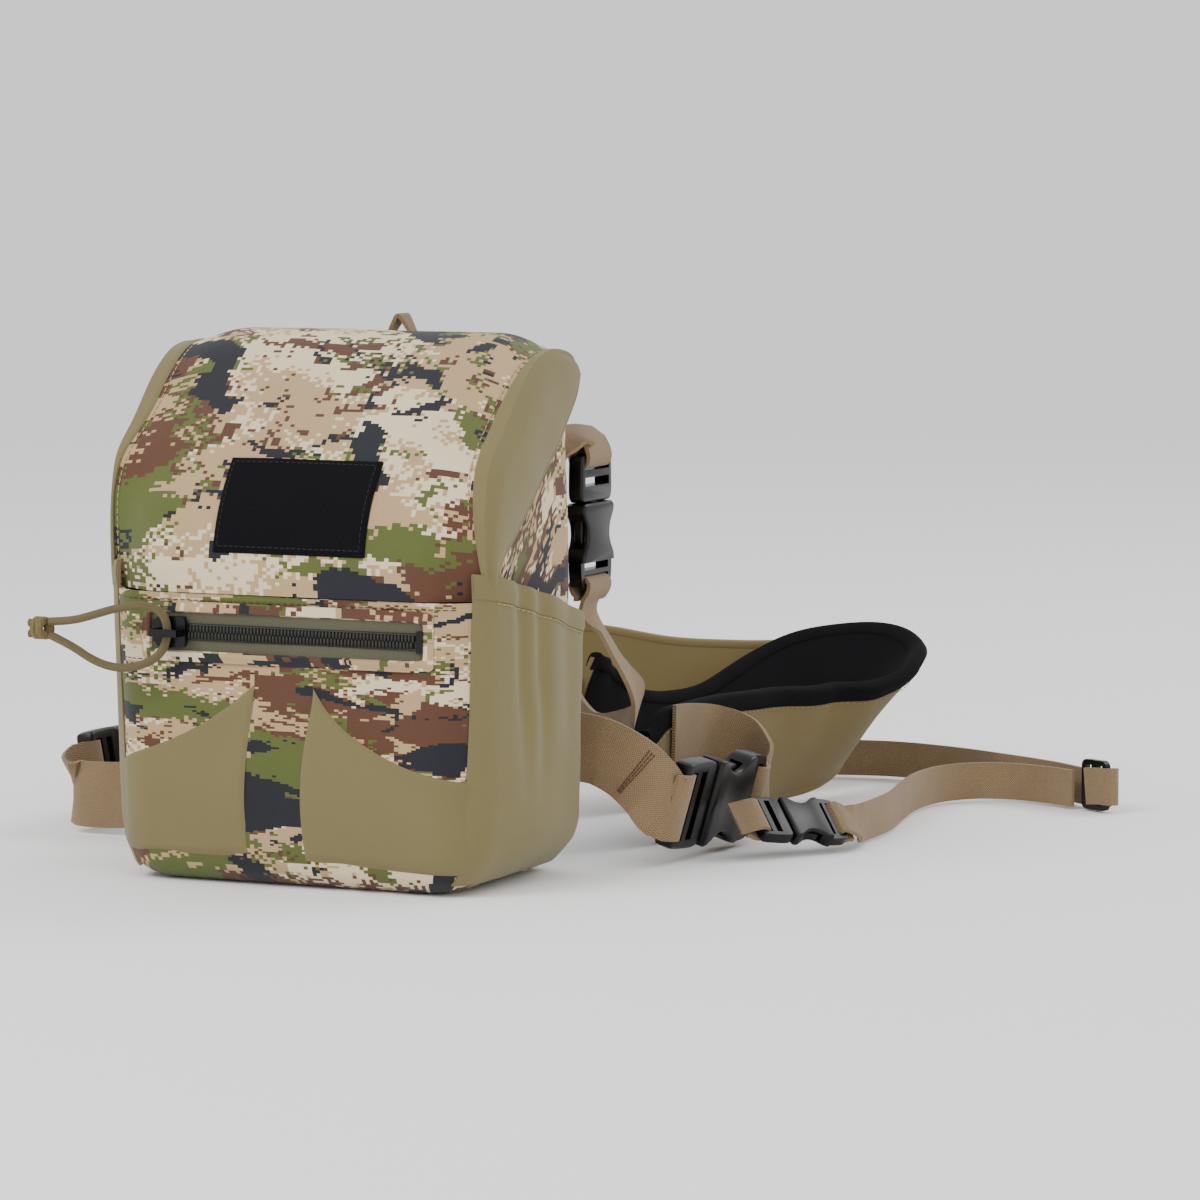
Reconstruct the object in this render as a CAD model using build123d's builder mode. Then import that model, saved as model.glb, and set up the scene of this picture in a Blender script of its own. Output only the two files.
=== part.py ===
from build123d import *
import os
from math import cos, pi, radians, sin, tan

# Binocular harness pack: a chest pack with a hood lid that opens forward, a zipped front pocket,
# two side pockets, and a harness of two shoulder pads and straps on side release buckles.
# Millimetres. The origin is the centre of the flat base, +Z is up and the front faces -Y.

os.makedirs("parts", exist_ok=True)

# Driving dimensions
WALL = 3.0                  # padded wall of the body and the lid
GAP = 0.3                   # clearance between neighbouring layers
FRONT = -45.5               # front of the body wall, behind the front panels
BACK = 46.0                 # back of the body wall
BASE_HEIGHT = 4.7
LID_SEAM = 104.0            # height of the seam that the lid turns on
BODY_TOP = 178.0            # height of the back wall
POCKET_FACE = 81.5          # outer face of a side pocket, from the centre
POCKET_WALL = 1.8
WING_FACE = 75.8            # outer face of a lid wing, from the centre
PAD_WIDTH, PAD_THICKNESS = 48.0, 4.6
LINING_THICKNESS = 1.2
WEBBING = 1.6               # thickness of every webbing
LOWER_WEBBING, UPPER_WEBBING, TORSO_WEBBING = 25.0, 20.0, 15.0
CORD_DIAMETER = 3.0
LAY_ANGLE = 27.0            # the harness lies in directions turned this far from the pack's
COIL_BAND = (-52.0, 55.0)   # the zip's coils, from the closed end to the open end
SLIDER_X = -43.5
ZIP_HEIGHT = 90.0

# Levels of the body: height, half width, front, back, corner radius
LEVELS = [
    (5.0, 66.5, -43.0, 43.0, 13.0),
    (13.0, 70.0, -45.3, 45.3, 15.0),
    (60.0, 71.5, FRONT, BACK, 15.0),
    (LID_SEAM, 72.5, FRONT, BACK, 14.0),
    (184.0, 70.0, FRONT, BACK, 14.0),
]


def level_faces(grow):
    """Horizontal faces of the body at its levels, grown or shrunk all round."""
    faces = []
    for height, half_width, front, back, corner in LEVELS:
        with BuildSketch(Plane.XY.offset(height)) as level:
            with Locations((0, (front + back) / 2)):
                RectangleRounded(2 * (half_width + grow), back - front + 2 * grow, corner + grow)
        faces.append(level.sketch.face())
    return faces


def side_face(x, outline):
    """A face in the plane of one x, from a closed outline of (y, z) points."""
    with BuildSketch(Plane(origin=(x, 0, 0), x_dir=(0, 1, 0), z_dir=(1, 0, 0))) as side:
        Polygon(*outline, align=None)
    return side.sketch.face()


def front_face(y, outline, inset=0.0):
    """A face in the plane of one y, from a closed outline of (x, z) points."""
    with BuildSketch(Plane(origin=(0, y, 0), x_dir=(1, 0, 0), z_dir=(0, -1, 0))) as front:
        Polygon(*outline, align=None)
        if inset:
            offset(amount=-inset, kind=Kind.INTERSECTION)
    return front.sketch.face()


def strip_outline(outline, start, depth):
    """The closed outline of a wall that follows an open one, from start to start + depth inside it."""
    outer, inner = [], []
    last = len(outline) - 1
    for i, (y, z) in enumerate(outline):
        before, after = outline[max(i - 1, 0)], outline[min(i + 1, last)]
        along = Vector(after[0] - before[0], after[1] - before[1]).normalized()
        outer.append((y + along.Y * start, z - along.X * start))
        inner.append((y + along.Y * (start + depth), z - along.X * (start + depth)))
    return outer + inner[::-1]


def band(stations, width, thickness, shift=0.0):
    """A flat band as one closed solid: each station is a point and the way its width points."""
    points = [Vector(*point) for point, _ in stations]
    rings = []
    for i, (_, across) in enumerate(stations):
        along = (points[min(i + 1, len(points) - 1)] - points[max(i - 1, 0)]).normalized()
        across = Vector(*across)
        across = (across - along * across.dot(along)).normalized()
        outward = along.cross(across)
        corners = [(-1, -1), (1, -1), (1, 1), (-1, 1)]
        rings.append([
            points[i] + across * (side * width / 2) + outward * (shift + face * thickness / 2)
            for side, face in corners
        ])
    faces = [Face(Wire.make_polygon(ring)) for ring in (rings[0], rings[-1])]
    for near, far in zip(rings, rings[1:]):
        for k in range(4):
            a, b, c, d = near[k], near[k - 1], far[k - 1], far[k]
            # The two wide sides are split along the same diagonal, so that the band keeps its thickness
            triangles = [(a, b, d), (b, c, d)] if k == 3 else [(a, b, c), (a, c, d)]
            faces += [Face(Wire.make_polygon(triangle)) for triangle in triangles]
    return Solid(Shell(faces))


def lean_stations(route):
    """Stations of a pad from (u, w, z, lean): u and w run along and into the harness's own lay."""
    turn = radians(LAY_ANGLE)
    points = [
        Vector(u * cos(turn) - w * sin(turn), u * sin(turn) + w * cos(turn) + BACK + 1.5, z)
        for u, w, z, _ in route
    ]
    stations = []
    for i, (_, _, _, lean) in enumerate(route):
        along = points[min(i + 1, len(points) - 1)] - points[max(i - 1, 0)]
        level = Vector(-along.Y, along.X, 0).normalized()
        across = level * cos(radians(lean)) + Vector(0, 0, 1) * sin(radians(lean))
        stations.append(((points[i].X, points[i].Y, points[i].Z), (across.X, across.Y, across.Z)))
    return stations


UPRIGHT = (0, 0, 1)


def on_edge(points):
    """Stations of a band that stands on its edge."""
    return [(point, UPRIGHT) for point in points]


def finish(builder, name):
    """Labels a piece and writes it."""
    builder.part.label = name
    export_step(builder.part, f"parts/{name}.step")


# ---------------------------------------------------------------- body

with BuildPart() as base_panel:
    with BuildSketch():
        RectangleRounded(132, 86, 13)
    extrude(amount=BASE_HEIGHT)
finish(base_panel, "base_panel")

# The mouth slopes up from the lid seam to the back wall
MOUTH = [(-70, LID_SEAM - 0.5), (-32.5, LID_SEAM - 0.5), (-32.5, 115), (24, BODY_TOP), (70, BODY_TOP),
         (70, 220), (-70, 220)]
LINER_MOUTH = [(-70, 99), (-28, 99), (-27, 110), (22, 168), (70, 168), (70, 220), (-70, 220)]

with BuildPart() as body_shell:
    loft(level_faces(0), ruled=True)
    loft(level_faces(-WALL), ruled=True, mode=Mode.SUBTRACT)
    extrude(side_face(-100, MOUTH), amount=200, mode=Mode.SUBTRACT)
finish(body_shell, "body_shell")

LINER = 1.2
with BuildPart() as inner_liner:
    loft(level_faces(-WALL - GAP), ruled=True)
    loft(level_faces(-WALL - GAP - LINER), ruled=True, mode=Mode.SUBTRACT)
    extrude(level_faces(-WALL - GAP)[0], amount=LINER)
    extrude(side_face(-100, LINER_MOUTH), amount=200, mode=Mode.SUBTRACT)
finish(inner_liner, "inner_liner")

with BuildPart() as back_panel:
    with BuildSketch(Plane(origin=(0, BACK + GAP, 90), x_dir=(1, 0, 0), z_dir=(0, 1, 0))):
        RectangleRounded(112, 160, 14)
    extrude(amount=2.6)
finish(back_panel, "back_panel")

with BuildPart() as body_magnets:
    for x in (-36, 36):
        with Locations((x, 41.0, 175.5)):
            Box(14, 3, 4)
finish(body_magnets, "body_magnets")

# ---------------------------------------------------------------- front pocket

PANEL_BACK = FRONT - 0.2
PANEL = 1.6
PANEL_OUTLINE = [(-56, 14), (56, 14), (57, LID_SEAM - 1), (-57, LID_SEAM - 1)]
DART_LEFT = [(-11.5, 72), (-14, 48), (-16.5, 30), (-14.5, 14.1), (-55.9, 14.1), (-56, 43), (-45, 46),
             (-30, 55)]
DART_RIGHT = [(12.3, 72), (7.5, 48), (6, 30), (8, 14.1), (55.9, 14.1), (56, 41), (45, 45), (32, 55)]
ZIP_WINDOW = [(-54, 82.5), (55.5, 82.5), (55.5, 97.5), (-54, 97.5)]

with BuildPart() as front_panel:
    extrude(front_face(PANEL_BACK, PANEL_OUTLINE), amount=PANEL)
    for cutout in (DART_LEFT, DART_RIGHT, ZIP_WINDOW):
        extrude(front_face(PANEL_BACK, cutout), amount=PANEL, mode=Mode.SUBTRACT)
finish(front_panel, "front_panel")

for dart_name, dart_outline in (("front_dart_left", DART_LEFT), ("front_dart_right", DART_RIGHT)):
    with BuildPart() as front_dart:
        extrude(front_face(PANEL_BACK, dart_outline, inset=0.25), amount=PANEL)
    finish(front_dart, dart_name)

with BuildPart() as zipper_tape:
    extrude(front_face(PANEL_BACK, ZIP_WINDOW, inset=0.25), amount=0.9)
finish(zipper_tape, "zipper_tape")

COIL_BACK = PANEL_BACK - 1.0
COIL_FRONT = COIL_BACK - 1.9
COIL_HALF = 3.4
with BuildPart() as zipper_coils:
    with Locations(((COIL_BAND[0] + COIL_BAND[1]) / 2, (COIL_BACK + COIL_FRONT) / 2, ZIP_HEIGHT)):
        Box(COIL_BAND[1] - COIL_BAND[0] - 6, COIL_BACK - COIL_FRONT, 2 * COIL_HALF)
finish(zipper_coils, "zipper_coils")

with BuildPart() as zipper_stops:
    for x in (COIL_BAND[0] + 1.4, COIL_BAND[1] - 1.4):
        with Locations((x, (COIL_BACK + COIL_FRONT) / 2, ZIP_HEIGHT)):
            Box(2.4, COIL_BACK - COIL_FRONT, 2 * COIL_HALF + 1)
finish(zipper_stops, "zipper_stops")

# The slider rides over the coils; the cord passes under its bridge
SLIDER_BACK = COIL_FRONT - 0.4
SLIDER_FRONT = SLIDER_BACK - 2.0
BRIDGE_FRONT = SLIDER_FRONT - 5.8
with BuildPart() as zipper_slider:
    with BuildSketch(Plane(origin=(SLIDER_X, SLIDER_BACK, ZIP_HEIGHT), x_dir=(1, 0, 0), z_dir=(0, -1, 0))):
        RectangleRounded(12, 11, 2.2)
    extrude(amount=SLIDER_BACK - SLIDER_FRONT)
    for side in (-1, 1):
        with Locations((SLIDER_X, SLIDER_BACK + 0.9, ZIP_HEIGHT + side * 4.6)):
            Box(9, 1.8, 1.6)
    with BuildSketch(Plane(origin=(SLIDER_X, 0, ZIP_HEIGHT), x_dir=(1, 0, 0), z_dir=(0, 0, 1))):
        with Locations((0, (SLIDER_FRONT + BRIDGE_FRONT) / 2)):
            Rectangle(11, SLIDER_FRONT - BRIDGE_FRONT)
        with Locations((0, (SLIDER_FRONT + BRIDGE_FRONT) / 2 + 0.8)):
            Rectangle(7.8, SLIDER_FRONT - BRIDGE_FRONT - 1.6, mode=Mode.SUBTRACT)
    extrude(amount=1.3, both=True)
finish(zipper_slider, "zipper_slider")

CORD_PIN_Y = (SLIDER_FRONT + BRIDGE_FRONT) / 2 + 0.7
CORD_LINE_Y = CORD_PIN_Y - 4.0
KNOT_FACE_X = -89.0
CORD_POINTS = [
    (KNOT_FACE_X, CORD_LINE_Y, 92.4),
    (-80.5, CORD_LINE_Y, 92.9),
    (-72.0, CORD_LINE_Y + 0.4, 95.2),
    (-63.0, CORD_LINE_Y + 1.0, 98.0),
    (-54.0, CORD_LINE_Y + 2.0, 99.6),
    (-47.0, CORD_LINE_Y + 3.3, 98.6),
    (SLIDER_X, CORD_PIN_Y, 94.0),
    (SLIDER_X - 0.2, CORD_PIN_Y, 86.6),
    (-47.0, CORD_LINE_Y + 3.3, 81.0),
    (-54.0, CORD_LINE_Y + 2.0, 77.6),
    (-62.5, CORD_LINE_Y + 1.0, 76.6),
    (-71.5, CORD_LINE_Y + 0.4, 79.0),
    (-80.5, CORD_LINE_Y, 84.4),
    (KNOT_FACE_X, CORD_LINE_Y, 87.6),
]


def arc_radii(points):
    """The largest arcs that the runs on each side of a corner leave room for."""
    radii = []
    for before, here, after in zip(points, points[1:], points[2:]):
        inward = Vector(*here) - Vector(*before)
        outward = Vector(*after) - Vector(*here)
        half_turn = radians(inward.get_angle(outward)) / 2
        radii.append(0.45 * min(inward.length, outward.length) / tan(half_turn))
    return radii


cord_radii = arc_radii(CORD_POINTS)
print("pull cord radii, mm:", [round(radius, 1) for radius in cord_radii])

with BuildPart() as pull_cord:
    with BuildLine() as cord_route:
        FilletPolyline(*CORD_POINTS, radius=cord_radii)
    with BuildSketch(Plane(origin=cord_route.line @ 0, z_dir=cord_route.line % 0)):
        Circle(CORD_DIAMETER / 2)
    sweep()
cord_length = sum(edge.length for edge in cord_route.edges())
print("pull cord length, mm:", round(cord_length, 1))
print("pull cord volume over section times length:",
      round(pull_cord.part.volume / (pi * CORD_DIAMETER ** 2 / 4 * cord_length), 4))
finish(pull_cord, "pull_cord")

with BuildPart() as pull_knot:
    with BuildSketch(Plane(origin=(KNOT_FACE_X, CORD_LINE_Y, ZIP_HEIGHT), z_dir=(-1, 0, 0))):
        Circle(4.6)
    extrude(amount=7)
    fillet(pull_knot.faces().sort_by(Axis.X)[0].edges(), 2.5)
finish(pull_knot, "pull_knot")

# ---------------------------------------------------------------- side pockets

POCKET_OUTLINE = [(-34, 9), (-26, 5.5), (36, 5.5), (44.5, 12), (45.5, 92), (24, 97), (-2, 107), (-20, 112),
                  (-30.5, 113), (-30.6, 103.6), (-34, 103)]
POCKET_INSIDE = [(-31.5, 11.5), (-25, 8), (35, 8), (42, 14), (43, 130), (-28, 130), (-28, 90), (-31.5, 84)]

for side, pocket_name in ((-1, "side_pocket_left"), (1, "side_pocket_right")):
    with BuildPart() as side_pocket:
        extrude(side_face(side * 60, POCKET_OUTLINE), amount=side * (POCKET_FACE - 60))
        outer_edges = side_pocket.faces().sort_by(Axis.X)[-1 if side > 0 else 0].edges()
        chamfer(outer_edges.filter_by(lambda edge: edge.center().Z < 90), 3.5)
        inside_depth = POCKET_FACE - 60 - POCKET_WALL
        extrude(side_face(side * 60, POCKET_INSIDE), amount=side * inside_depth, mode=Mode.SUBTRACT)
        loft(level_faces(GAP), ruled=True, mode=Mode.SUBTRACT)
    finish(side_pocket, pocket_name)

HEM_OUTLINE = [(-30.4, 106.5), (-20, 105), (-2, 100), (24, 90), (44.5, 85), (44.5, 92), (24, 97), (-2, 107),
               (-20, 112), (-30.4, 113)]
with BuildPart() as pocket_hems:
    for side in (-1, 1):
        extrude(side_face(side * (POCKET_FACE + 0.1), HEM_OUTLINE), amount=side * 1.2)
finish(pocket_hems, "pocket_hems")

# ---------------------------------------------------------------- lid

LID_CENTRE = [(-46.5, 104.6), (-47, 115), (-45, 125), (-40, 138), (-31, 151), (-18, 165), (-4, 179), (8, 189),
              (20, 193.5), (32, 193), (42, 187), (45, 180.5)]
LID_EDGE = [(-36.0, 104.6), (-36.7, 115), (-37.2, 126), (-36.8, 138), (-33, 151), (-21, 162.6), (-7, 177),
            (5, 185.5), (15, 188), (24, 188), (33.7, 185.6), (38.5, 180.5)]
LID_HALF, LID_FLAT = WING_FACE - 1.8, 50.0


def blend_outline(share):
    """An outline between the lid's centre and its edge."""
    return [
        (centre_y + (edge_y - centre_y) * share, centre_z + (edge_z - centre_z) * share)
        for (centre_y, centre_z), (edge_y, edge_z) in zip(LID_CENTRE, LID_EDGE)
    ]


def lid_faces(start, depth, half, first=0, last=12):
    """Cross sections of a layer of the lid, from side to side."""
    stations = [(-half, 1), (-66, 0.5), (-LID_FLAT, 0), (LID_FLAT, 0), (66, 0.5), (half, 1)]
    return [
        side_face(x, strip_outline(blend_outline(share)[first:last], start, depth))
        for x, share in stations
    ]


with BuildPart() as lid_shell:
    loft(lid_faces(0, WALL, LID_HALF), ruled=True)
finish(lid_shell, "lid_shell")

with BuildPart() as lid_liner:
    loft(lid_faces(WALL + 2 * GAP, 1.0, 68.5, first=1, last=10), ruled=True)
finish(lid_liner, "lid_liner")

WING_OUTLINE = LID_EDGE + [(38.2, 175), (31.5, 167.6), (25.5, 160.5), (11.5, 149), (-2.5, 137), (-17, 123.5),
                           (-31.5, 118), (-32.3, 104.6)]
for side, wing_name in ((-1, "lid_wing_left"), (1, "lid_wing_right")):
    with BuildPart() as lid_wing:
        extrude(side_face(side * (LID_HALF + 0.1), WING_OUTLINE), amount=side * (WING_FACE - LID_HALF - 0.1))
    finish(lid_wing, wing_name)

PATCH_OUTLINE = [(-46.3, 118.5), (-45, 125), (-40, 138), (-31.7, 150)]
with BuildPart() as lid_patch:
    loft([side_face(x, strip_outline(PATCH_OUTLINE, -1.3, 1.1)) for x in (-28, 32)], ruled=True)
finish(lid_patch, "lid_patch")

with BuildPart() as lid_tab:
    extrude(front_face(48.4, [(-9, 181), (9, 181), (9, 191), (2, 200), (-2, 200), (-9, 191)]), amount=2.8)
finish(lid_tab, "lid_tab")

with BuildPart() as lid_magnets:
    for x in (-36, 36):
        with Locations((x, 38.4, 182.4)):
            Box(14, 3, 3)
finish(lid_magnets, "lid_magnets")

# ---------------------------------------------------------------- buckles

# Where the halves meet, the way out of the male half, the way across, and the scale
BUCKLES = {
    "upper_right": ((68, 63, 132), (0, 0, -1), (0, 1, 0), 0.72),
    "upper_left": ((-68, 63, 132), (0, 0, -1), (0, 1, 0), 0.72),
    "lower_right": ((101.7, 86.5, 21), (0.08, 0.99, -0.05), (0.26, 0, 0.966), 0.92),
    "lower_left": ((-143, 88, 19.8), (0, 0.999, -0.02), (-0.2, 0, 0.98), 0.92),
    "torso": ((126, 108, 12.5), (0.57, 0.81, -0.1), (-0.62, 0.44, 0.64), 0.55),
}
# Sizes of a buckle at scale 1
BUCKLE_WIDTH, FEMALE_THICKNESS, MALE_THICKNESS = 37.0, 11.0, 7.0
MALE_LENGTH, FEMALE_LENGTH, LADDER_LENGTH = 24.0, 29.0, 14.0
CAVITY_WIDTH, CAVITY_HEIGHT, CAVITY_DEPTH = 31.0, 5.8, 26.0
PRONG_LENGTH, PRONG_OUTER, PRONG_WIDTH, PRONG_THICKNESS = 22.0, 15.1, 4.6, 4.8
SLOT_WIDTH = 28.4


def buckle_plane(origin, along, across):
    """The buckle's own plane: x out of the male half, y across, z through its thickness."""
    along = Vector(*along).normalized()
    across = Vector(*across)
    across = (across - along * across.dot(along)).normalized()
    return Plane(origin=origin, x_dir=along, z_dir=along.cross(across))


def beside_buckle(buckle_name, reach):
    """Two stations of webbing that leaves a buckle, past its male end if reach is negative."""
    origin, along, across, scale_size = BUCKLES[buckle_name]
    along = Vector(*along).normalized()
    end = -MALE_LENGTH * scale_size if reach < 0 else (FEMALE_LENGTH + LADDER_LENGTH) * scale_size
    near, far = (Vector(*origin) + along * (end + distance) for distance in (0.1 * reach, reach))
    return [((near.X, near.Y, near.Z), across), ((far.X, far.Y, far.Z), across)]


for buckle_name, (origin, along, across, scale_size) in BUCKLES.items():
    plane = buckle_plane(origin, along, across)
    with BuildPart() as male_half:
        with BuildSketch(plane):
            with Locations((-MALE_LENGTH / 2 * scale_size, 0)):
                RectangleRounded(MALE_LENGTH * scale_size, BUCKLE_WIDTH * scale_size, 5 * scale_size)
            for bar_slot in (-18.4, -10.4):
                with Locations((bar_slot * scale_size, 0)):
                    Rectangle(4.4 * scale_size, SLOT_WIDTH * scale_size, mode=Mode.SUBTRACT)
        extrude(amount=MALE_THICKNESS / 2 * scale_size, both=True)
        with BuildSketch(plane):
            with Locations((9 * scale_size, 0)):
                Rectangle(20 * scale_size, 7 * scale_size)
        extrude(amount=CAVITY_HEIGHT / 2 * scale_size - 0.35, both=True)
    finish(male_half, f"{buckle_name}_buckle_male")

    for side, prong_name in ((1, "prong_a"), (-1, "prong_b")):
        with BuildPart() as prong:
            with BuildSketch(plane):
                outer = side * PRONG_OUTER * scale_size
                inner = side * (PRONG_OUTER - PRONG_WIDTH) * scale_size
                tip = PRONG_LENGTH * scale_size
                Polygon((0.2, outer), (0.2, inner), (tip * 0.3, inner),
                        (tip * 0.5, inner - side * 1.6 * scale_size),
                        (tip, inner + side * 0.6 * scale_size), (tip, outer - side * 2.4 * scale_size),
                        (tip * 0.75, outer), align=None)
            extrude(amount=PRONG_THICKNESS / 2 * scale_size - 0.1, both=True)
        finish(prong, f"{buckle_name}_buckle_{prong_name}")

    with BuildPart() as female_half:
        mouth = 0.4
        with BuildSketch(plane):
            with Locations(((mouth + FEMALE_LENGTH * scale_size) / 2, 0)):
                female_length = FEMALE_LENGTH * scale_size - mouth
                RectangleRounded(female_length, BUCKLE_WIDTH * scale_size, 4 * scale_size)
        extrude(amount=FEMALE_THICKNESS / 2 * scale_size, both=True)
        female_faces = female_half.faces().sort_by(Axis(plane.origin, plane.z_dir))
        chamfer(female_faces[0].edges() + female_faces[-1].edges(), 1.2 * scale_size)
        with BuildSketch(plane):
            with Locations((FEMALE_LENGTH * scale_size + LADDER_LENGTH / 2 * scale_size - 0.6, 0)):
                ladder_length = LADDER_LENGTH * scale_size + 1.0
                RectangleRounded(ladder_length, BUCKLE_WIDTH * 0.96 * scale_size, 3 * scale_size)
            for bar_slot in (32.2, 38.6):
                with Locations((bar_slot * scale_size, 0)):
                    Rectangle(4.0 * scale_size, SLOT_WIDTH * scale_size, mode=Mode.SUBTRACT)
        extrude(amount=MALE_THICKNESS / 2 * scale_size, both=True)
        with BuildSketch(plane):
            with Locations((CAVITY_DEPTH / 2 * scale_size, 0)):
                Rectangle(CAVITY_DEPTH * scale_size, CAVITY_WIDTH * scale_size)
            for side in (-1, 1):
                with Locations((15.5 * scale_size, side * BUCKLE_WIDTH / 2 * scale_size)):
                    Rectangle(15 * scale_size, 10 * scale_size)
        extrude(amount=CAVITY_HEIGHT / 2 * scale_size, both=True, mode=Mode.SUBTRACT)
    finish(female_half, f"{buckle_name}_buckle_female")


# ---------------------------------------------------------------- webbing on the pack

def mirror_x(stations):
    """The same stations on the other side of the pack."""
    return [((-x, y, z), (-a, b, c)) for (x, y, z), (a, b, c) in stations]


UPPER_ANCHOR = [((59, 49.6, 163), (0.8, 0, -0.6)), ((64.5, 54.5, 161.5), (0.8, 0.2, -0.5)),
                ((67.2, 59.5, 158.5), (0.7, 0.8, -0.1))]
UPPER_ANCHOR += beside_buckle("upper_right", -4.0)[::-1]
with BuildPart() as upper_anchors:
    add(band(UPPER_ANCHOR, 14, WEBBING))
    add(band(mirror_x(UPPER_ANCHOR), 14, WEBBING))
finish(upper_anchors, "upper_anchors")

LOWER_ANCHOR_RIGHT = on_edge([(71.5, 47.6, 44), (80, 48.5, 42), (90, 50.5, 36.5), (96.5, 54.5, 29)])
LOWER_ANCHOR_RIGHT += beside_buckle("lower_right", -4.0)[::-1]
with BuildPart() as lower_anchor_right:
    add(band(LOWER_ANCHOR_RIGHT, LOWER_WEBBING, WEBBING))
finish(lower_anchor_right, "lower_anchor_right")

LOWER_ANCHOR_LEFT = on_edge([(-71.5, 47.6, 26), (-90, 49.5, 21), (-115, 50.5, 16), (-138, 51.5, 15),
                             (-143.5, 55, 16.5)])
LOWER_ANCHOR_LEFT += beside_buckle("lower_left", -4.0)[::-1]
with BuildPart() as lower_anchor_left:
    add(band(LOWER_ANCHOR_LEFT, LOWER_WEBBING, WEBBING))
finish(lower_anchor_left, "lower_anchor_left")

# ---------------------------------------------------------------- harness

RIGHT_PAD = [(70, 105, 48, 90), (83, 123, 32, 70), (99, 140, 22.5, 50), (117, 158, 20, 41), (135, 177, 21, 38),
             (149, 191, 29, 35), (164, 200, 42, 31), (179, 199, 49, 28), (189.5, 188, 47, 29),
             (190, 171, 37, 37), (179, 150, 28, 52), (160, 130, 26, 68), (135, 98, 26.5, 78),
             (112, 58, 27.5, 86), (93, 25, 27.5, 90)]
LEFT_PAD = [(-60, 115, 27.5, 90), (-62, 155, 27.5, 90), (-50, 200, 27.5, 90), (-20, 240, 27.5, 90),
            (40, 262, 26, 90), (100, 275, 25, 90), (150, 270, 26, 90), (170, 261, 28, 90),
            (177, 252, 29, 90), (172, 243, 30, 90), (158, 240, 30, 90), (140, 240, 30, 90),
            (110, 242, 31.5, 90), (77, 243, 37, 90), (40, 236, 39, 90), (0, 205, 43, 90), (-20, 165, 50, 90)]
LINING_SHIFT = (PAD_THICKNESS + LINING_THICKNESS) / 2 + 2 * GAP

right_stations = lean_stations(RIGHT_PAD)
left_stations = lean_stations(LEFT_PAD)
for pad_name, stations in (("right_pad", right_stations), ("left_pad", left_stations)):
    with BuildPart() as pad:
        add(band(stations, PAD_WIDTH, PAD_THICKNESS))
    finish(pad, pad_name)
    with BuildPart() as lining:
        add(band(stations, PAD_WIDTH - 1.0, LINING_THICKNESS, LINING_SHIFT))
    finish(lining, f"{pad_name}_lining")

PAD_BRIDGE = on_edge([(65, 326, 38), (60, 334, 34), (54, 341, 31), (49, 346, 29)])
with BuildPart() as pad_bridge:
    add(band(PAD_BRIDGE, 20, WEBBING))
finish(pad_bridge, "pad_bridge")

UPPER_STRAP_RIGHT = beside_buckle("upper_right", 4.0) + [
    ((69, 67, 88), (-0.3, 1, 0)), ((72.5, 76, 77), (-0.3, 1, 0.3)), ((72, 88, 69), (0.1, 1, 0.7)),
    ((64, 103, 63), (0.2, 0.6, 1)), ((50, 120, 58), (0.1, 0.3, 1)), ((36, 138, 54), (0, 0.1, 1)),
    ((24, 155, 50), UPRIGHT), ((14.2, 168.5, 48), UPRIGHT)]
UPPER_STRAP_LEFT = beside_buckle("upper_left", 4.0) + [
    ((-69, 69, 91.5), (0.6, 0.8, 0)), ((-74, 86, 86), (0.9, 0.3, 0)), ((-82, 116, 74), (1, 0.2, 0)),
    ((-88, 146, 62), (0.8, 0.2, 0.5)), ((-91.5, 170, 53), (0.2, 0, 1)), ((-92.6, 183, 50), UPRIGHT)]
upper_straps = (("upper_strap_right", UPPER_STRAP_RIGHT), ("upper_strap_left", UPPER_STRAP_LEFT))
for strap_name, stations in upper_straps:
    with BuildPart() as upper_strap:
        add(band(stations, UPPER_WEBBING - 1, WEBBING))
    finish(upper_strap, strap_name)

LOWER_WEBBING_RIGHT = beside_buckle("lower_right", 4.0) + on_edge([
    (105.6, 138, 19.5), (101, 147, 26), (91, 151, 33), (82, 146, 37), (78.8, 134, 39), (77.8, 120, 40)])
LOWER_WEBBING_LEFT = beside_buckle("lower_left", 4.0) + on_edge([
    (-142.5, 140, 19.5), (-138, 146, 23), (-129, 146, 27), (-120.5, 138, 30), (-114.5, 128, 31)])
lower_webbings = (("lower_webbing_right", LOWER_WEBBING_RIGHT), ("lower_webbing_left", LOWER_WEBBING_LEFT))
for strap_name, stations in lower_webbings:
    with BuildPart() as lower_webbing:
        add(band(stations, LOWER_WEBBING - 1, WEBBING))
    finish(lower_webbing, strap_name)

TORSO_TAB = beside_buckle("torso", -3.0) + [((113.6, 90.5, 14.5), (-0.62, 0.44, 0.64))]
with BuildPart() as torso_tab:
    add(band(TORSO_TAB, TORSO_WEBBING - 1, WEBBING))
finish(torso_tab, "torso_tab")

STRAP_HEIGHT = TORSO_WEBBING / 2 + 0.6
TORSO_NEAR_ROUTE = [(142, 148), (140, 178), (133, 210), (128, 238), (129, 262), (138, 277), (152, 281),
                    (168, 277), (183, 269), (197, 262)]
TORSO_FAR_ROUTE = [(199.4, 268.4), (185, 277), (165, 293), (141, 307), (112, 321), (84, 328), (60, 324),
                   (36, 314), (8, 304), (-14, 301), (-32, 296)]
TORSO_NEAR = beside_buckle("torso", 3.0) + [((143, 136, 9), (-0.3, 0.1, 1))]
TORSO_NEAR += on_edge([(x, y, STRAP_HEIGHT) for x, y in TORSO_NEAR_ROUTE])
TORSO_FAR = on_edge([(x, y, STRAP_HEIGHT) for x, y in TORSO_FAR_ROUTE])
with BuildPart() as torso_strap_near:
    add(band(TORSO_NEAR, TORSO_WEBBING - 0.6, WEBBING))
finish(torso_strap_near, "torso_strap_near")
with BuildPart() as torso_strap_far:
    add(band(TORSO_FAR, TORSO_WEBBING - 0.6, WEBBING))
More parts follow.
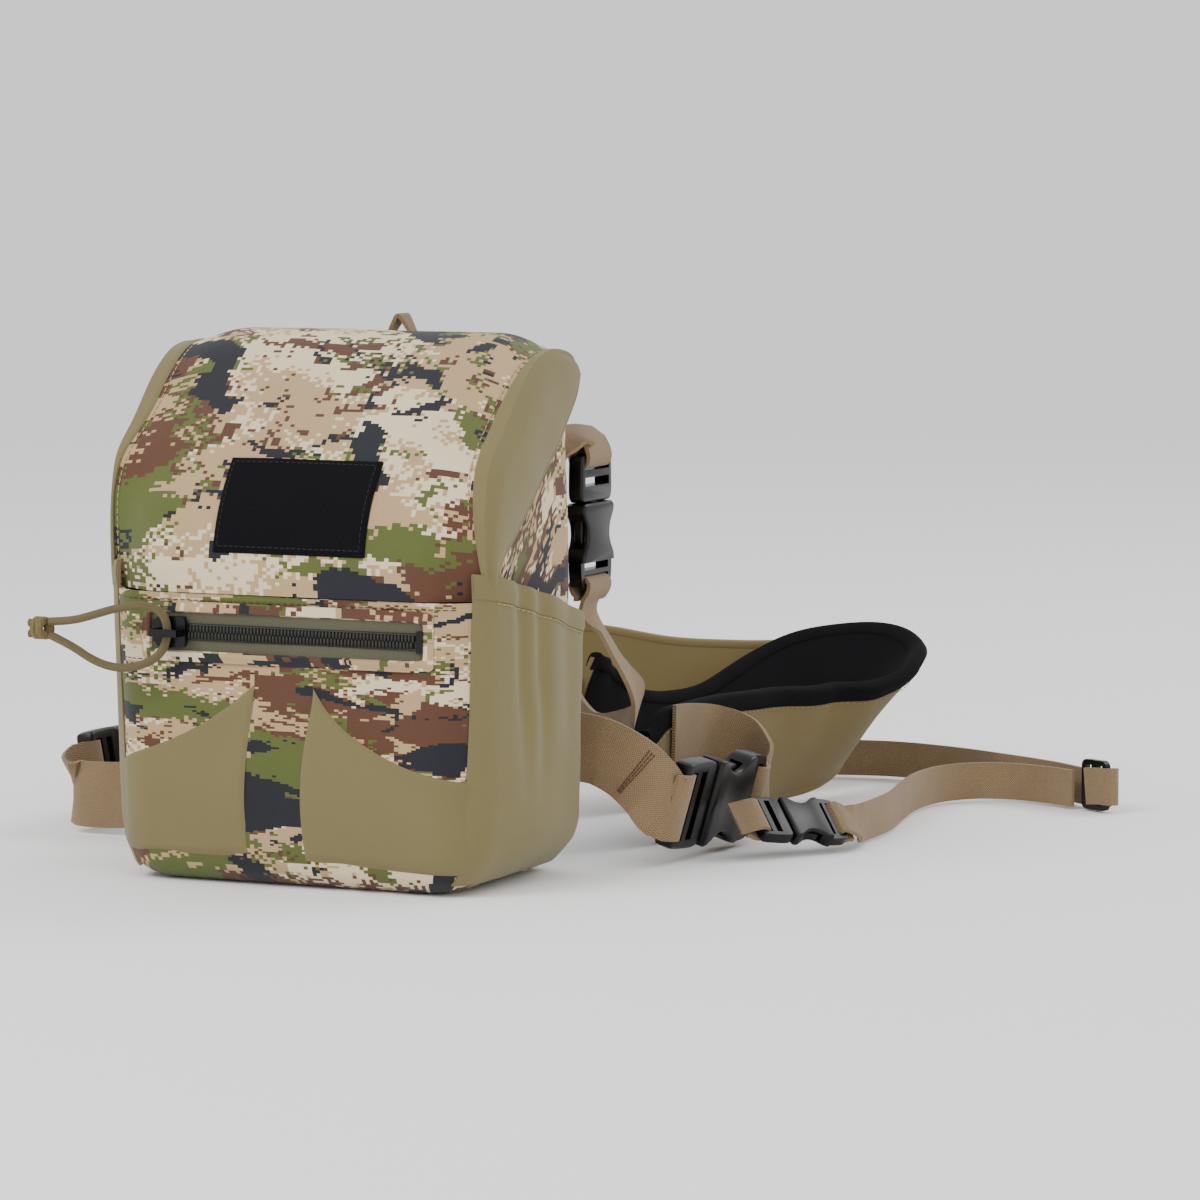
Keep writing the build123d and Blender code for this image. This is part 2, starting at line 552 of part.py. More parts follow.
finish(torso_strap_far, "torso_strap_far")

# The tri-glide stands between the two plies of the torso strap
GLIDE_PLANE = Plane(origin=(191, 269, 10.2), x_dir=(0.87, -0.47, 0), z_dir=(0.47, 0.87, 0))
with BuildPart() as triglide:
    with BuildSketch(GLIDE_PLANE):
        RectangleRounded(14, 19.6, 2.5)
        for bar_slot in (-3.1, 3.1):
            with Locations((bar_slot, 0)):
                Rectangle(3.2, 15.6, mode=Mode.SUBTRACT)
    extrude(amount=1.2, both=True)
finish(triglide, "triglide")
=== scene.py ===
import math

import bpy
from bpy.props import FloatProperty, FloatVectorProperty, PointerProperty
from mathutils import Matrix, Vector, noise


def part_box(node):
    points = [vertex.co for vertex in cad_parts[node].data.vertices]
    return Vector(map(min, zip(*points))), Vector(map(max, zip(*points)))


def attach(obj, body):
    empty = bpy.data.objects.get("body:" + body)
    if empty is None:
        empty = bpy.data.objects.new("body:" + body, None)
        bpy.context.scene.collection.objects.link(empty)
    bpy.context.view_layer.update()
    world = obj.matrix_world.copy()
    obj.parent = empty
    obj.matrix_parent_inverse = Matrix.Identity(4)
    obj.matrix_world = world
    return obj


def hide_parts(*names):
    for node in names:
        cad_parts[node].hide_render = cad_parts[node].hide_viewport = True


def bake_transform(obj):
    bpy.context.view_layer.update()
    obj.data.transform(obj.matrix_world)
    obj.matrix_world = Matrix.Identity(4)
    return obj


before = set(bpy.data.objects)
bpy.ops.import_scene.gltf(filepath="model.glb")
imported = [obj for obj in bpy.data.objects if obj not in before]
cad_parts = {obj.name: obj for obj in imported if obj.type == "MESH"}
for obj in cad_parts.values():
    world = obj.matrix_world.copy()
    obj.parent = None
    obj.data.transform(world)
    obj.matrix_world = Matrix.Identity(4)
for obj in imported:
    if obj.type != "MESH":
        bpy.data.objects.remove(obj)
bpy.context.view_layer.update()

bl_info = {
    "name": "Binocular Harness Pack",
    "version": (1, 0, 0),
    "blender": (4, 5, 0),
    "location": "3D View > Sidebar > Pack",
    "description": "Sews the cloth, webbing, zip and cord of a binocular harness pack around its frame",
    "category": "Object",
}

# Lengths are in millimetres in this file, and every mesh is in metres.
MM = 0.001
UP = Vector((0, 0, 1))
SIDES = ((-1, "left"), (1, "right"))

# The body's levels: height, half width, front, back, corner radius
LEVELS = [
    (0.0, 64.5, -42.0, 42.0, 14.0),
    (5.0, 67.5, -44.3, 43.8, 15.0),
    (13.0, 70.0, -45.6, 45.3, 16.0),
    (60.0, 71.8, -46.2, 46.0, 16.0),
    (104.0, 73.0, -46.2, 46.2, 15.0),
    (184.0, 70.5, -45.8, 46.2, 15.0),
]
LID_SEAM = 104.0
BODY_TOP = 178.5
LID_HALF = 74.3
LID_FLAT = 48.0
LID_CENTRE = [(-46.8, 103.9), (-47.4, 115), (-45.4, 126), (-40.4, 138), (-31.4, 151), (-18.4, 165.4),
              (-4.2, 179.3), (8, 189.2), (20, 193.7), (32, 193.0), (41.6, 187.4), (45.0, 180.2)]
LID_EDGE = [(-35.4, 103.9), (-36.7, 115), (-37.4, 126), (-36.9, 138), (-33, 151), (-21, 162.8),
            (-7, 177.2), (5, 185.5), (15, 188.3), (24, 188.2), (33.7, 185.6), (38.5, 180.2)]
WING_REAR = [(-31.4, 103.9), (-29.5, 114), (-24, 120), (-14, 127), (-2.5, 136.5), (11.5, 149),
             (22, 158), (30.5, 167), (36, 174), (38.4, 180)]


# ---------------------------------------------------------------- curves and the pack's form

def lerp(a, b, share):
    """The value a share of the way from a to b."""
    return a + (b - a) * share


def ease(share):
    """A share from 0 to 1 with a soft start and end."""
    share = min(max(share, 0.0), 1.0)
    return share * share * (3 - 2 * share)


def facing(side, across):
    """A share across a piece of one side, turned so that its cloth faces outwards."""
    return across if side > 0 else 1 - across


def boxy_turn(share, power):
    """A point a share of the way round a circle, squared off by a power under 1."""
    angle = 2 * math.pi * share
    return [math.copysign(abs(value) ** power, value) for value in (math.cos(angle), math.sin(angle))]


def curve_through(points):
    """A smooth curve through points, as a function of the share of its length, and that length."""
    points = [Vector(point) for point in points]
    last = len(points) - 1
    marks = [0.0]
    for before, after in zip(points, points[1:]):
        marks.append(marks[-1] + (after - before).length)
    slopes = []
    for i in range(last + 1):
        low, high = max(i - 1, 0), min(i + 1, last)
        slopes.append((points[high] - points[low]) / (marks[high] - marks[low]))

    def at(share):
        reach = min(max(share, 0.0), 1.0) * marks[-1]
        i = max(k for k in range(last) if marks[k] <= reach + 1e-9)
        span = marks[i + 1] - marks[i]
        t = (reach - marks[i]) / span
        return (points[i] * (2 * t ** 3 - 3 * t ** 2 + 1) + slopes[i] * span * (t ** 3 - 2 * t ** 2 + t)
                + points[i + 1] * (3 * t ** 2 - 2 * t ** 3) + slopes[i + 1] * span * (t ** 3 - t ** 2))

    return at, marks[-1]


def ripple(x, y, z, size, height, seed=0.0):
    """A soft, repeatable wave of cloth at a place, of a size and a height in millimetres."""
    return height * noise.noise(Vector((x / size + seed, y / size - seed, z / size + 2 * seed)))


def body_size(z):
    """Half width, front, back and corner radius of the body at a height."""
    for low, high in zip(LEVELS, LEVELS[1:]):
        if z <= high[0] or high is LEVELS[-1]:
            share = (z - low[0]) / (high[0] - low[0])
            return [lerp(low[k], high[k], share) for k in range(1, 5)]


def front_puff(x, z):
    """How far the front of the body swells forward."""
    height = math.sin(math.pi * min(max((z - 4) / 99, 0), 1)) ** 0.7
    width = max(1 - (x / 74) ** 2, 0)
    return 1.6 * height * width + ripple(x, 0, z, 38, 0.9, 3.1) * height


# Stretches of the body's outline, from the middle of the back by the left side and the front
OUTLINE = [55.5, 25.1, 60.0, 25.1, 111.0, 25.1, 60.0, 25.1, 55.5]
PERIMETER = sum(OUTLINE)


def body_point(around, z, grow=0.0):
    """A point of the body's wall, a share of the way around it, and its way outwards."""
    half, front, back, corner = body_size(z)
    reach = min(max(around, 0.0), 1.0) * PERIMETER
    stretch = 0
    while reach > OUTLINE[stretch] and stretch < len(OUTLINE) - 1:
        reach -= OUTLINE[stretch]
        stretch += 1
    share = reach / OUTLINE[stretch]
    inner_x, front_y, back_y = half - corner, front + corner, back - corner
    if stretch % 2:
        corners = [(-inner_x, back_y), (-inner_x, front_y), (inner_x, front_y), (inner_x, back_y)]
        centre = corners[stretch // 2]
        angle = math.radians(90 + 90 * (stretch // 2) + 90 * share)
        outward = Vector((math.cos(angle), math.sin(angle), 0))
        place = Vector((centre[0], centre[1], z)) + outward * corner
    else:
        start, end, outward = [
            ((0, back), (-inner_x, back), (0, 1)),
            ((-half, back_y), (-half, front_y), (-1, 0)),
            ((-inner_x, front), (inner_x, front), (0, -1)),
            ((half, front_y), (half, back_y), (1, 0)),
            ((inner_x, back), (0, back), (0, 1)),
        ][stretch // 2]
        outward = Vector((outward[0], outward[1], 0))
        place = Vector((lerp(start[0], end[0], share), lerp(start[1], end[1], share), z))
    if place.y < 0:
        grow += front_puff(place.x, z) * max(-outward.y, 0)
    return place + outward * grow, outward


def front_point(x, z, lift=0.0):
    """A point on the front of the body, lifted off it."""
    half, front, _, corner = body_size(z)
    past = abs(x) - (half - corner)
    side = math.copysign(1, x)
    outward = Vector((0, -1, 0))
    y = front
    if past > 0:
        past = min(past, corner * 0.995)
        fall = math.sqrt(corner ** 2 - past ** 2)
        y = front + corner - fall
        outward = Vector((side * past, -fall, 0)) / corner
        x = side * (half - corner + past)
    return Vector((x, y, z)) + outward * (lift + front_puff(x, z) * -outward.y)


def side_wall(y, z):
    """How far out the body's side wall stands at a depth and a height."""
    half, front, back, corner = body_size(z)
    past = max(front + corner - y, y - (back - corner), 0)
    past = min(past, corner * 0.995)
    return half - corner + math.sqrt(corner ** 2 - past ** 2)


lid_centre, LID_LENGTH = curve_through(LID_CENTRE)
lid_edge, EDGE_LENGTH = curve_through(LID_EDGE)
wing_rear, REAR_LENGTH = curve_through(WING_REAR)


def lid_point(x, along, lift=0.0):
    """A point of the lid at a width and a share of the way from its hinge to its rear lip."""
    share = ease((abs(x) - LID_FLAT) / (LID_HALF - LID_FLAT)) ** 1.3
    step = 0.004
    here, ahead, behind = (lid_centre(t).lerp(lid_edge(t), share)
                           for t in (along, along + step, along - step))
    slope = (ahead - behind).normalized()
    soft = math.sin(math.pi * min(max(along, 0), 1)) * (1 - share)
    swell = 0.9 * soft + ripple(x, 0, along * LID_LENGTH, 34, 1.1, 7.7) * soft
    lift += swell
    return Vector((x, here.x - slope.y * lift, here.y + slope.x * lift))


def along_at_height(z):
    """The share along the lid's centre at which its front reaches a height."""
    low, high = 0.0, 0.6
    for _ in range(24):
        middle = (low + high) / 2
        low, high = (middle, high) if lid_centre(middle).y < z else (low, middle)
    return low


# ---------------------------------------------------------------- modelling tools

def deselect():
    """Leaves nothing selected and object mode on."""
    if bpy.context.object and bpy.context.object.mode != "OBJECT":
        bpy.ops.object.mode_set(mode="OBJECT")
    bpy.ops.object.select_all(action="DESELECT")


def choose(*pieces):
    """Selects only these pieces, and makes the first one active."""
    deselect()
    for piece in pieces:
        piece.select_set(True)
    bpy.context.view_layer.objects.active = pieces[0]


def face_outwards():
    """Turns every face of the active piece outwards."""
    bpy.ops.object.mode_set(mode="EDIT")
    bpy.ops.mesh.select_all(action="SELECT")
    bpy.ops.mesh.normals_make_consistent(inside=False)
    bpy.ops.object.mode_set(mode="OBJECT")


def node_box(node):
    """A node's lowest and highest corners, in millimetres."""
    return [Vector(corner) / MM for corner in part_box(node)]


def apply_modifier(piece, kind, **settings):
    """Adds a modifier to a piece and applies it."""
    modifier = piece.modifiers.new(kind.title(), kind)
    for key, value in settings.items():
        setattr(modifier, key, value)
    choose(piece)
    bpy.ops.object.modifier_apply(modifier=modifier.name)


def smooth(piece, angle=50):
    """Shades a piece smooth, but for its sharp edges."""
    choose(piece)
    bpy.ops.object.shade_smooth_by_angle(angle=math.radians(angle))


def cloth(name, columns, rows, place, size, thickness=0.0, offset=-1.0, closed=False, angle=60, lay=None):
    """A piece of cloth modelled on a grid: place gives each point from its shares across and along.

    size is the cloth's width and length, which its UV map keeps in metres; lay maps the cloth instead,
    from the same shares to millimetres."""
    deselect()
    bpy.ops.mesh.primitive_grid_add(x_subdivisions=columns, y_subdivisions=rows, size=1, location=(0, 0, 0))
    piece = bpy.context.object
    piece.name = piece.data.name = name
    for corner in piece.data.uv_layers.active.data:
        across, along = corner.uv
        corner.uv = Vector(lay(across, along) if lay else (across * size[0], along * size[1])) * MM
    for vertex in piece.data.vertices:
        vertex.co = place(vertex.co.x + 0.5, vertex.co.y + 0.5) * MM
    if closed:
        bpy.ops.object.mode_set(mode="EDIT")
        bpy.ops.mesh.select_all(action="SELECT")
        bpy.ops.mesh.remove_doubles(threshold=0.00002)
        if closed == "capped":
            bpy.ops.mesh.select_all(action="DESELECT")
            bpy.ops.mesh.select_non_manifold()
            bpy.ops.mesh.edge_face_add()
            bpy.ops.mesh.select_all(action="SELECT")
            bpy.ops.mesh.normals_make_consistent(inside=False)
        bpy.ops.object.mode_set(mode="OBJECT")
    if thickness:
        apply_modifier(piece, "SOLIDIFY", thickness=thickness * MM, offset=offset)
    smooth(piece, angle)
    return piece


def tube(name, path, length, across, depth, width, steps=60, sides=14, boxy=1.0):
    """A closed tube along path(share), which gives its centre, its way across and its way outwards."""
    def place(around, along):
        centre, sideways, outward = path(along)
        swing = boxy_turn(around, boxy)
        return centre + sideways * swing[0] * across + outward * swing[1] * depth

    return cloth(name, sides, steps, place, (width, length), closed="capped")


def stitches(name, points, outward, pitch=2.7, length=1.75, width=0.34):
    """A row of stitches along a smooth line through points, as one mesh of small rounded threads."""
    line, reach = curve_through(points)
    count = max(int(reach / pitch), 1)
    deselect()
    bpy.ops.mesh.primitive_cylinder_add(vertices=6, radius=1, depth=1, end_fill_type="TRIFAN")
    thread = bpy.context.object
    shape = [vertex.co.copy() for vertex in thread.data.vertices]
    faces = [tuple(face.vertices) for face in thread.data.polygons]
    vertices, polygons = [], []
    for i in range(count):
        share = (i + 0.5) / count
        centre, ahead = line(share), (line(share + 0.003) - line(share - 0.003)).normalized()
        out = outward(centre) if callable(outward) else Vector(outward)
        out = (out - ahead * out.dot(ahead)).normalized()
        side = ahead.cross(out)
        start = len(vertices)
        for point in shape:
            taper = 0.55 if abs(point.z) > 0.45 and point.xy.length > 0.5 else 1.0
            vertices.append((centre + ahead * point.z * length + side * point.x * width * taper
                             + out * (point.y * width * taper)) * MM)
        polygons += [tuple(start + k for k in face) for face in faces]
    mesh = bpy.data.meshes.new(name)
    mesh.from_pydata(vertices, [], polygons)
    thread.data = mesh
    thread.name = name
    face_outwards()
    smooth(thread, 70)
    return thread


def join(name, parts):
    """Joins pieces into one and names it."""
    choose(*parts)
    bpy.ops.object.join()
    piece = bpy.context.object
    piece.name = piece.data.name = name
    return piece


def sew(piece, body, material, slot, *nodes):
    """Gives a finished piece its material and its body, and hides the nodes that it stands for; slot is not
    used.
    """
    piece.data.materials.clear()
    piece.data.materials.append(material)
    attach(piece, body)
    if nodes:
        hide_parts(*nodes)
    return piece


# ---------------------------------------------------------------- materials

def add_node(tree, kind, inputs=None, **settings):
    """Adds a shader node, with its settings and its inputs' values or links."""
    node = tree.nodes.new(kind)
    for key, value in settings.items():
        setattr(node, key, value)
    for key, value in (inputs or {}).items():
        if isinstance(value, bpy.types.NodeSocket):
            tree.links.new(value, node.inputs[key])
        else:
            node.inputs[key].default_value = value
    return node


def maths(tree, operation, *values):
    """What a maths node makes of numbers or sockets."""
    return add_node(tree, "ShaderNodeMath", dict(enumerate(values)), operation=operation).outputs[0]


def new_group(name, inputs, outputs):
    """A shader node group with its named sockets, and its two end nodes."""
    group = bpy.data.node_groups.new(name, "ShaderNodeTree")
    for socket, kind, value in inputs:
        made = group.interface.new_socket(socket, in_out="INPUT", socket_type=kind)
        if value is not None:
            made.default_value = value
    for socket, kind in outputs:
        group.interface.new_socket(socket, in_out="OUTPUT", socket_type=kind)
    return group, group.nodes.new("NodeGroupInput"), group.nodes.new("NodeGroupOutput")


def effect(name, build):
    """The node group of that name, built the first time that it's asked for."""
    return bpy.data.node_groups.get(name) or build(name)


def build_patches(name):
    """Patches of a printed pattern with stepped, broken edges: a mask over a snapped place."""
    group, start, end = new_group(
        name,
        [("Place", "NodeSocketVector", None), ("Offset", "NodeSocketVector", None),
         ("Scale", "NodeSocketFloat", 30.0), ("Level", "NodeSocketFloat", 0.55),
         ("Scatter", "NodeSocketFloat", 0.1)],
        [("Mask", "NodeSocketFloat")])
    shifted = add_node(group, "ShaderNodeVectorMath", {
        0: start.outputs["Place"], 1: start.outputs["Offset"]})
    cloud = add_node(group, "ShaderNodeTexNoise", {
        "Vector": shifted.outputs[0], "Scale": start.outputs["Scale"], "Detail": 2.0, "Roughness": 0.5,
        "Distortion": 1.1})
    speck = add_node(group, "ShaderNodeTexWhiteNoise", {"Vector": shifted.outputs[0]})
    centred = maths(group, "SUBTRACT", speck.outputs["Value"], 0.5)
    strewn = maths(group, "MULTIPLY_ADD", centred, start.outputs["Scatter"], cloud.outputs["Fac"])
    mask = maths(group, "GREATER_THAN", strewn, start.outputs["Level"])
    group.links.new(mask, end.inputs["Mask"])
    return group


def build_weave(name):
    """Threads over and under: a height and a fleck mask."""
    group, start, end = new_group(
        name,
        [("Place", "NodeSocketVector", None), ("Thread", "NodeSocketFloat", 900.0),
         ("Cross", "NodeSocketFloat", 900.0)],
        [("Height", "NodeSocketFloat"), ("Fleck", "NodeSocketFloat")])
    parts = add_node(group, "ShaderNodeSeparateXYZ", {0: start.outputs["Place"]})
    waves = [maths(group, "SINE", maths(group, "MULTIPLY", parts.outputs[axis], start.outputs[rate]))
             for axis, rate in ((0, "Thread"), (1, "Cross"))]
    height = maths(group, "MULTIPLY_ADD", maths(group, "MULTIPLY", *waves), 0.5, 0.5)
    fleck = add_node(group, "ShaderNodeTexNoise", {
        "Vector": start.outputs["Place"], "Scale": 1400.0, "Detail": 2.0, "Roughness": 0.7})
    group.links.new(height, end.inputs["Height"])
    group.links.new(fleck.outputs["Fac"], end.inputs["Fleck"])
    return group


def build_tone(name):
    """A colour with broad, soft changes of tone and fine flecks."""
    group, start, end = new_group(
        name,
        [("Place", "NodeSocketVector", None), ("Color", "NodeSocketColor", (0.5, 0.5, 0.5, 1)),
         ("Fleck", "NodeSocketFloat", 0.5), ("Amount", "NodeSocketFloat", 0.2)],
        [("Color", "NodeSocketColor"), ("Wear", "NodeSocketFloat")])
    cloud = add_node(group, "ShaderNodeTexNoise", {
        "Vector": start.outputs["Place"], "Scale": 22.0, "Detail": 4.0, "Roughness": 0.6})
    both = maths(group, "ADD", cloud.outputs["Fac"], start.outputs["Fleck"])
    gain = maths(group, "MULTIPLY_ADD", maths(group, "SUBTRACT", both, 1.0), start.outputs["Amount"], 1.0)
    tinted = add_node(group, "ShaderNodeVectorMath", {0: start.outputs["Color"], 3: gain},
                      operation="SCALE")
    group.links.new(tinted.outputs[0], end.inputs["Color"])
    group.links.new(cloud.outputs["Fac"], end.inputs["Wear"])
    return group


def linear(value):
    """A screen value from 0 to 255 as linear light."""
    value /= 255
    return value / 12.92 if value <= 0.04045 else ((value + 0.055) / 1.055) ** 2.4


def tint(red, green, blue):
    """A screen colour as a linear one."""
    return (linear(red), linear(green), linear(blue), 1.0)


def start_material(name, roughness=0.85, sheen=0.0, specular=0.3):
    """A material with its shader, ready for its nodes."""
    material = bpy.data.materials.new(name)
    material.use_nodes = True
    tree = material.node_tree
    shader = tree.nodes["Principled BSDF"]
    shader.inputs["Roughness"].default_value = roughness
    shader.inputs["Specular IOR Level"].default_value = specular
    shader.inputs["Sheen Weight"].default_value = sheen
    return material, tree, shader


def bump(tree, shader, height, strength, distance):
    """Feeds a height into a shader's normal."""
    node = add_node(tree, "ShaderNodeBump", {"Height": height, "Strength": strength, "Distance": distance})
    tree.links.new(node.outputs[0], shader.inputs["Normal"])


def use_group(tree, group, inputs):
    """Places a node group in a material."""
    node = tree.nodes.new("ShaderNodeGroup")
    node.node_tree = group
    for key, value in inputs.items():
        if isinstance(value, bpy.types.NodeSocket):
            tree.links.new(value, node.inputs[key])
        else:
            node.inputs[key].default_value = value
    return node


def woven(name, colour, thread, cross, relief, amount=0.25, sheen=0.15, mapped=True, specular=0.3,
          thread_gap_shade=0.28):
    """A plain woven or knitted cloth, on the piece's own UV map or on its place.

    thread and cross are the two ways' rates; the last setting is how much shade is painted between the
    threads."""
    material, tree, shader = start_material(name, 0.85, sheen, specular)
    place = add_node(tree, "ShaderNodeTexCoord").outputs["UV" if mapped else "Object"]
    weave = use_group(tree, effect("cloth weave", build_weave), {
        "Place": place, "Thread": thread, "Cross": cross})
    tone = use_group(tree, effect("cloth tone", build_tone), {
        "Place": place, "Color": colour, "Fleck": weave.outputs["Fleck"], "Amount": amount})
    # Painted shade: the colour is darkened where the weave's height is low, between the threads
    shade = maths(tree, "MULTIPLY_ADD", weave.outputs["Height"], thread_gap_shade, 1 - thread_gap_shade / 2)
    lit = add_node(tree, "ShaderNodeVectorMath", {0: tone.outputs["Color"], 3: shade}, operation="SCALE")
    tree.links.new(lit.outputs[0], shader.inputs["Base Color"])
    bump(tree, shader, weave.outputs["Height"], 0.6, relief)
    return material


PRINT_STEP = (0.00165, 0.00125, 1.0)    # the print's smallest step each way, in metres


def printed_camo(name, colours):
    """Twill printed with stepped patches in five colours."""
    material, tree, shader = start_material(name, 0.82, 0.12)
    place = add_node(tree, "ShaderNodeTexCoord").outputs["UV"]
    snapped = add_node(tree, "ShaderNodeVectorMath", {0: place, 1: PRINT_STEP}, operation="SNAP")
    flat = add_node(tree, "ShaderNodeMapping", {"Vector": snapped.outputs[0], "Scale": (0.75, 1.15, 1.0)})
    patches = effect("printed patches", build_patches)
    layers = [
        ("cream", (3.1, 0.4, 0.0), 24.0, 0.51, 0.15),
        ("brown", (1.7, 2.2, 0.3), 14.0, 0.525, 0.05),
        ("brown", (8.4, 1.1, 0.9), 44.0, 0.61, 0.12),
        ("green", (4.6, 7.3, 0.5), 15.0, 0.545, 0.07),
        ("green", (6.2, 3.6, 0.1), 46.0, 0.62, 0.12),
        ("tan", (9.3, 9.7, 0.2), 36.0, 0.60, 0.12),
        ("dark", (2.9, 8.8, 0.8), 20.0, 0.585, 0.03),
        ("dark", (5.5, 5.2, 0.6), 44.0, 0.64, 0.08),
    ]
    colour = add_node(tree, "ShaderNodeRGB")
    colour.outputs[0].default_value = colours["tan"]
    colour = colour.outputs[0]
    for key, shift, scale, level, scatter in layers:
        mask = use_group(tree, patches, {
            "Place": flat.outputs[0], "Offset": shift, "Scale": scale, "Level": level, "Scatter": scatter})
        mix = add_node(tree, "ShaderNodeMix", {"Factor": mask.outputs[0], 6: colour, 7: colours[key]},
                       data_type="RGBA")
        colour = mix.outputs[2]
    weave = use_group(tree, effect("cloth weave", build_weave), {
        "Place": place, "Thread": 9000.0, "Cross": 9000.0})
    tone = use_group(tree, effect("cloth tone", build_tone), {
        "Place": place, "Color": colour, "Fleck": weave.outputs["Fleck"], "Amount": 0.22})
    tree.links.new(tone.outputs["Color"], shader.inputs["Base Color"])
    bump(tree, shader, weave.outputs["Height"], 0.5, 0.0002)
    return material


def moulded(name, colour, roughness=0.42):
    """Moulded plastic with a fine spark-eroded grain."""
    material, tree, shader = start_material(name, roughness, 0.0, 0.28)
    place = add_node(tree, "ShaderNodeTexCoord").outputs["Object"]
    tone = use_group(tree, effect("cloth tone", build_tone), {
        "Place": place, "Color": colour, "Fleck": 0.5, "Amount": 0.5})
    grain = add_node(tree, "ShaderNodeTexNoise", {"Vector": place, "Scale": 2600.0, "Detail": 2.0})
    rough = maths(tree, "MULTIPLY_ADD", tone.outputs["Wear"], 0.18, roughness - 0.09)
    tree.links.new(tone.outputs["Color"], shader.inputs["Base Color"])
    tree.links.new(rough, shader.inputs["Roughness"])
    bump(tree, shader, grain.outputs["Fac"], 0.25, 0.0001)
    return material


MATERIALS = {}


def make_materials(colours):
    """Makes every material from the pack's colours."""
    plain = {key: tuple(getattr(colours, key)) + (1.0,) for key in PackColours.__annotations__}
    MATERIALS.update({
        "camo": printed_camo("camo_twill", plain),
        "stretch": woven("stretch_cloth", plain["stretch"], 11000.0, 11000.0, 0.0001, 0.14),
        "pad": woven("pad_knit", plain["pad"], 11000.0, 11000.0, 0.0001, 0.16, sheen=0.1),
        "webbing": woven("webbing", plain["webbing"], 6300.0, 6900.0, 0.0004, 0.6, thread_gap_shade=0.8),
        "tape": woven("zip_tape", plain["tape"], 5200.0, 7400.0, 0.0003, 0.35),
        "teeth": moulded("zip_teeth", plain["teeth"], 0.4),
        "black": woven("black_cloth", plain["black"], 8200.0, 8200.0, 0.0002, 0.5, 0.0, specular=0.08),
        "binding": woven("black_binding", plain["black"], 9000.0, 5200.0, 0.0003, 0.5, 0.0, specular=0.08),
        "black_placed": woven("black_lining", plain["black"], 4200.0, 4200.0, 0.0003, 0.4, 0.0,
                              mapped=False, specular=0.08),
        "plastic": moulded("black_plastic", plain["plastic"], 0.3),
        "cord": woven("braided_cord", plain["cord"], 4200.0, 2400.0, 0.0006, 0.4),
        "cord_placed": woven("braided_knot", plain["cord"], 4200.0, 3000.0, 0.0006, 0.4, mapped=False),
        "thread": woven("tan_thread", plain["tan"], 9000.0, 9000.0, 0.0001, 0.3, mapped=False),
        "brown_thread": woven("brown_thread", plain["brown"], 9000.0, 9000.0, 0.0001, 0.3, mapped=False),
        "dark_thread": woven("dark_thread", plain["black"], 9000.0, 9000.0, 0.0001, 0.3, mapped=False),
        "magnet": moulded("magnet_steel", plain["tape"], 0.35),
    })


# ---------------------------------------------------------------- body

def mouth_height(y):
    """How high the body's wall stands at a depth: the mouth slopes up from the lid seam."""
    if y < -32.5:
        return LID_SEAM - 0.4 + 8 * ease((y + 36) / 3.5)
    return min(lerp(112, BODY_TOP, (y + 32.5) / 56.5), BODY_TOP)


def make_body():
    """The body's camo wall, its base and the black binding of its mouth."""
    bend = 9.0

    def wall(around, up):
        level, _ = body_point(around, 60)
        top = mouth_height(level.y)
        if up < 0.08:
            turn = math.radians(90) * up / 0.08
            place, out = body_point(around, bend * (1 - math.cos(turn)))
            return place - out * bend * (1 - math.sin(turn))
        z = lerp(bend, top, (up - 0.08) / 0.92)
        place, out = body_point(around, z)
        slack = ease((z - 12) / 20) * ease((top - z) / 12)
        return place + out * ripple(place.x, place.y, z, 30, 0.8, 1.3) * slack

    body = cloth("body_wall", 200, 90, wall, (PERIMETER, 178), thickness=2.0, closed=True)
    sew(body, "pack", MATERIALS["camo"], "camo_fabric", "body_shell", "front_panel")

    def base(across, along):
        x, y = across * 2 - 1, along * 2 - 1
        reach = max(abs(x), abs(y))
        if reach < 1e-6:
            return Vector((0, 0, 0.05))
        angle = math.atan2(y, x)
        share = ((angle - math.pi / 2) / (2 * math.pi)) % 1.0
        rim, out = body_point(share, 0.0)
        rim = rim - out * (bend - 0.6)
        return Vector((rim.x * reach, rim.y * reach, 0.05))

    bottom = cloth("base_cloth", 40, 40, base, (132, 86), thickness=2.2, offset=1.0)
    sew(bottom, "pack", MATERIALS["camo"], "dark_fabric", "base_panel")

    # The binding runs round the mouth from one side's front, by the back, to the other's
    start, reach = 0.704, 0.592

    def mouth(share):
        around = (start + reach * share) % 1.0
        level, _ = body_point(around, 60)
        place, out = body_point(around, mouth_height(level.y))
        return place - out * 1.0, out, UP

    binding = tube("mouth_binding", mouth, PERIMETER * reach, 1.7, 2.2, 9, steps=200, sides=10, boxy=0.8)
    sew(binding, "pack", MATERIALS["binding"], "lining")


def back_cloth():
    """The back panel: a quilted black pad."""
    low, high = node_box("back_panel")

    def place(across, along):
        x, z = lerp(low.x, high.x, across), lerp(low.z, high.z, along)
        edge = min(across, 1 - across, along, 1 - along)
        crown = ease(edge / 0.08)
        quilt = 0.5 * (0.5 + 0.5 * math.cos(3 * 2 * math.pi * along))
        corner = 14 * (1 - math.sin(math.pi * along) ** 0.12)
        return Vector((x * (1 - corner / 90), lerp(low.y, high.y, crown) - quilt * crown, z))

    pad = cloth("back_pad", 60, 80, lambda u, v: place(1 - u, v), (112, 160), thickness=0.6, offset=-1.0)
    sew(pad, "pack", MATERIALS["black"], "dark_fabric", "back_panel")


# ---------------------------------------------------------------- front pocket

def dart_edges(side):
    """The inner edge and the upper edge of a lower front panel, as curves of (x, z)."""
    if side < 0:
        return (curve_through([(-14.2, 7), (-16.5, 26), (-15, 48), (-11.8, 72)])[0],
                curve_through([(-11.8, 72), (-21, 65), (-33.5, 57.6), (-50, 50), (-71.6, 41.5)])[0])
    return (curve_through([(8, 7), (6, 28), (7.5, 50), (12, 72)])[0],
            curve_through([(12, 72), (18.5, 63), (28, 55), (46, 46), (71.8, 39.8)])[0])


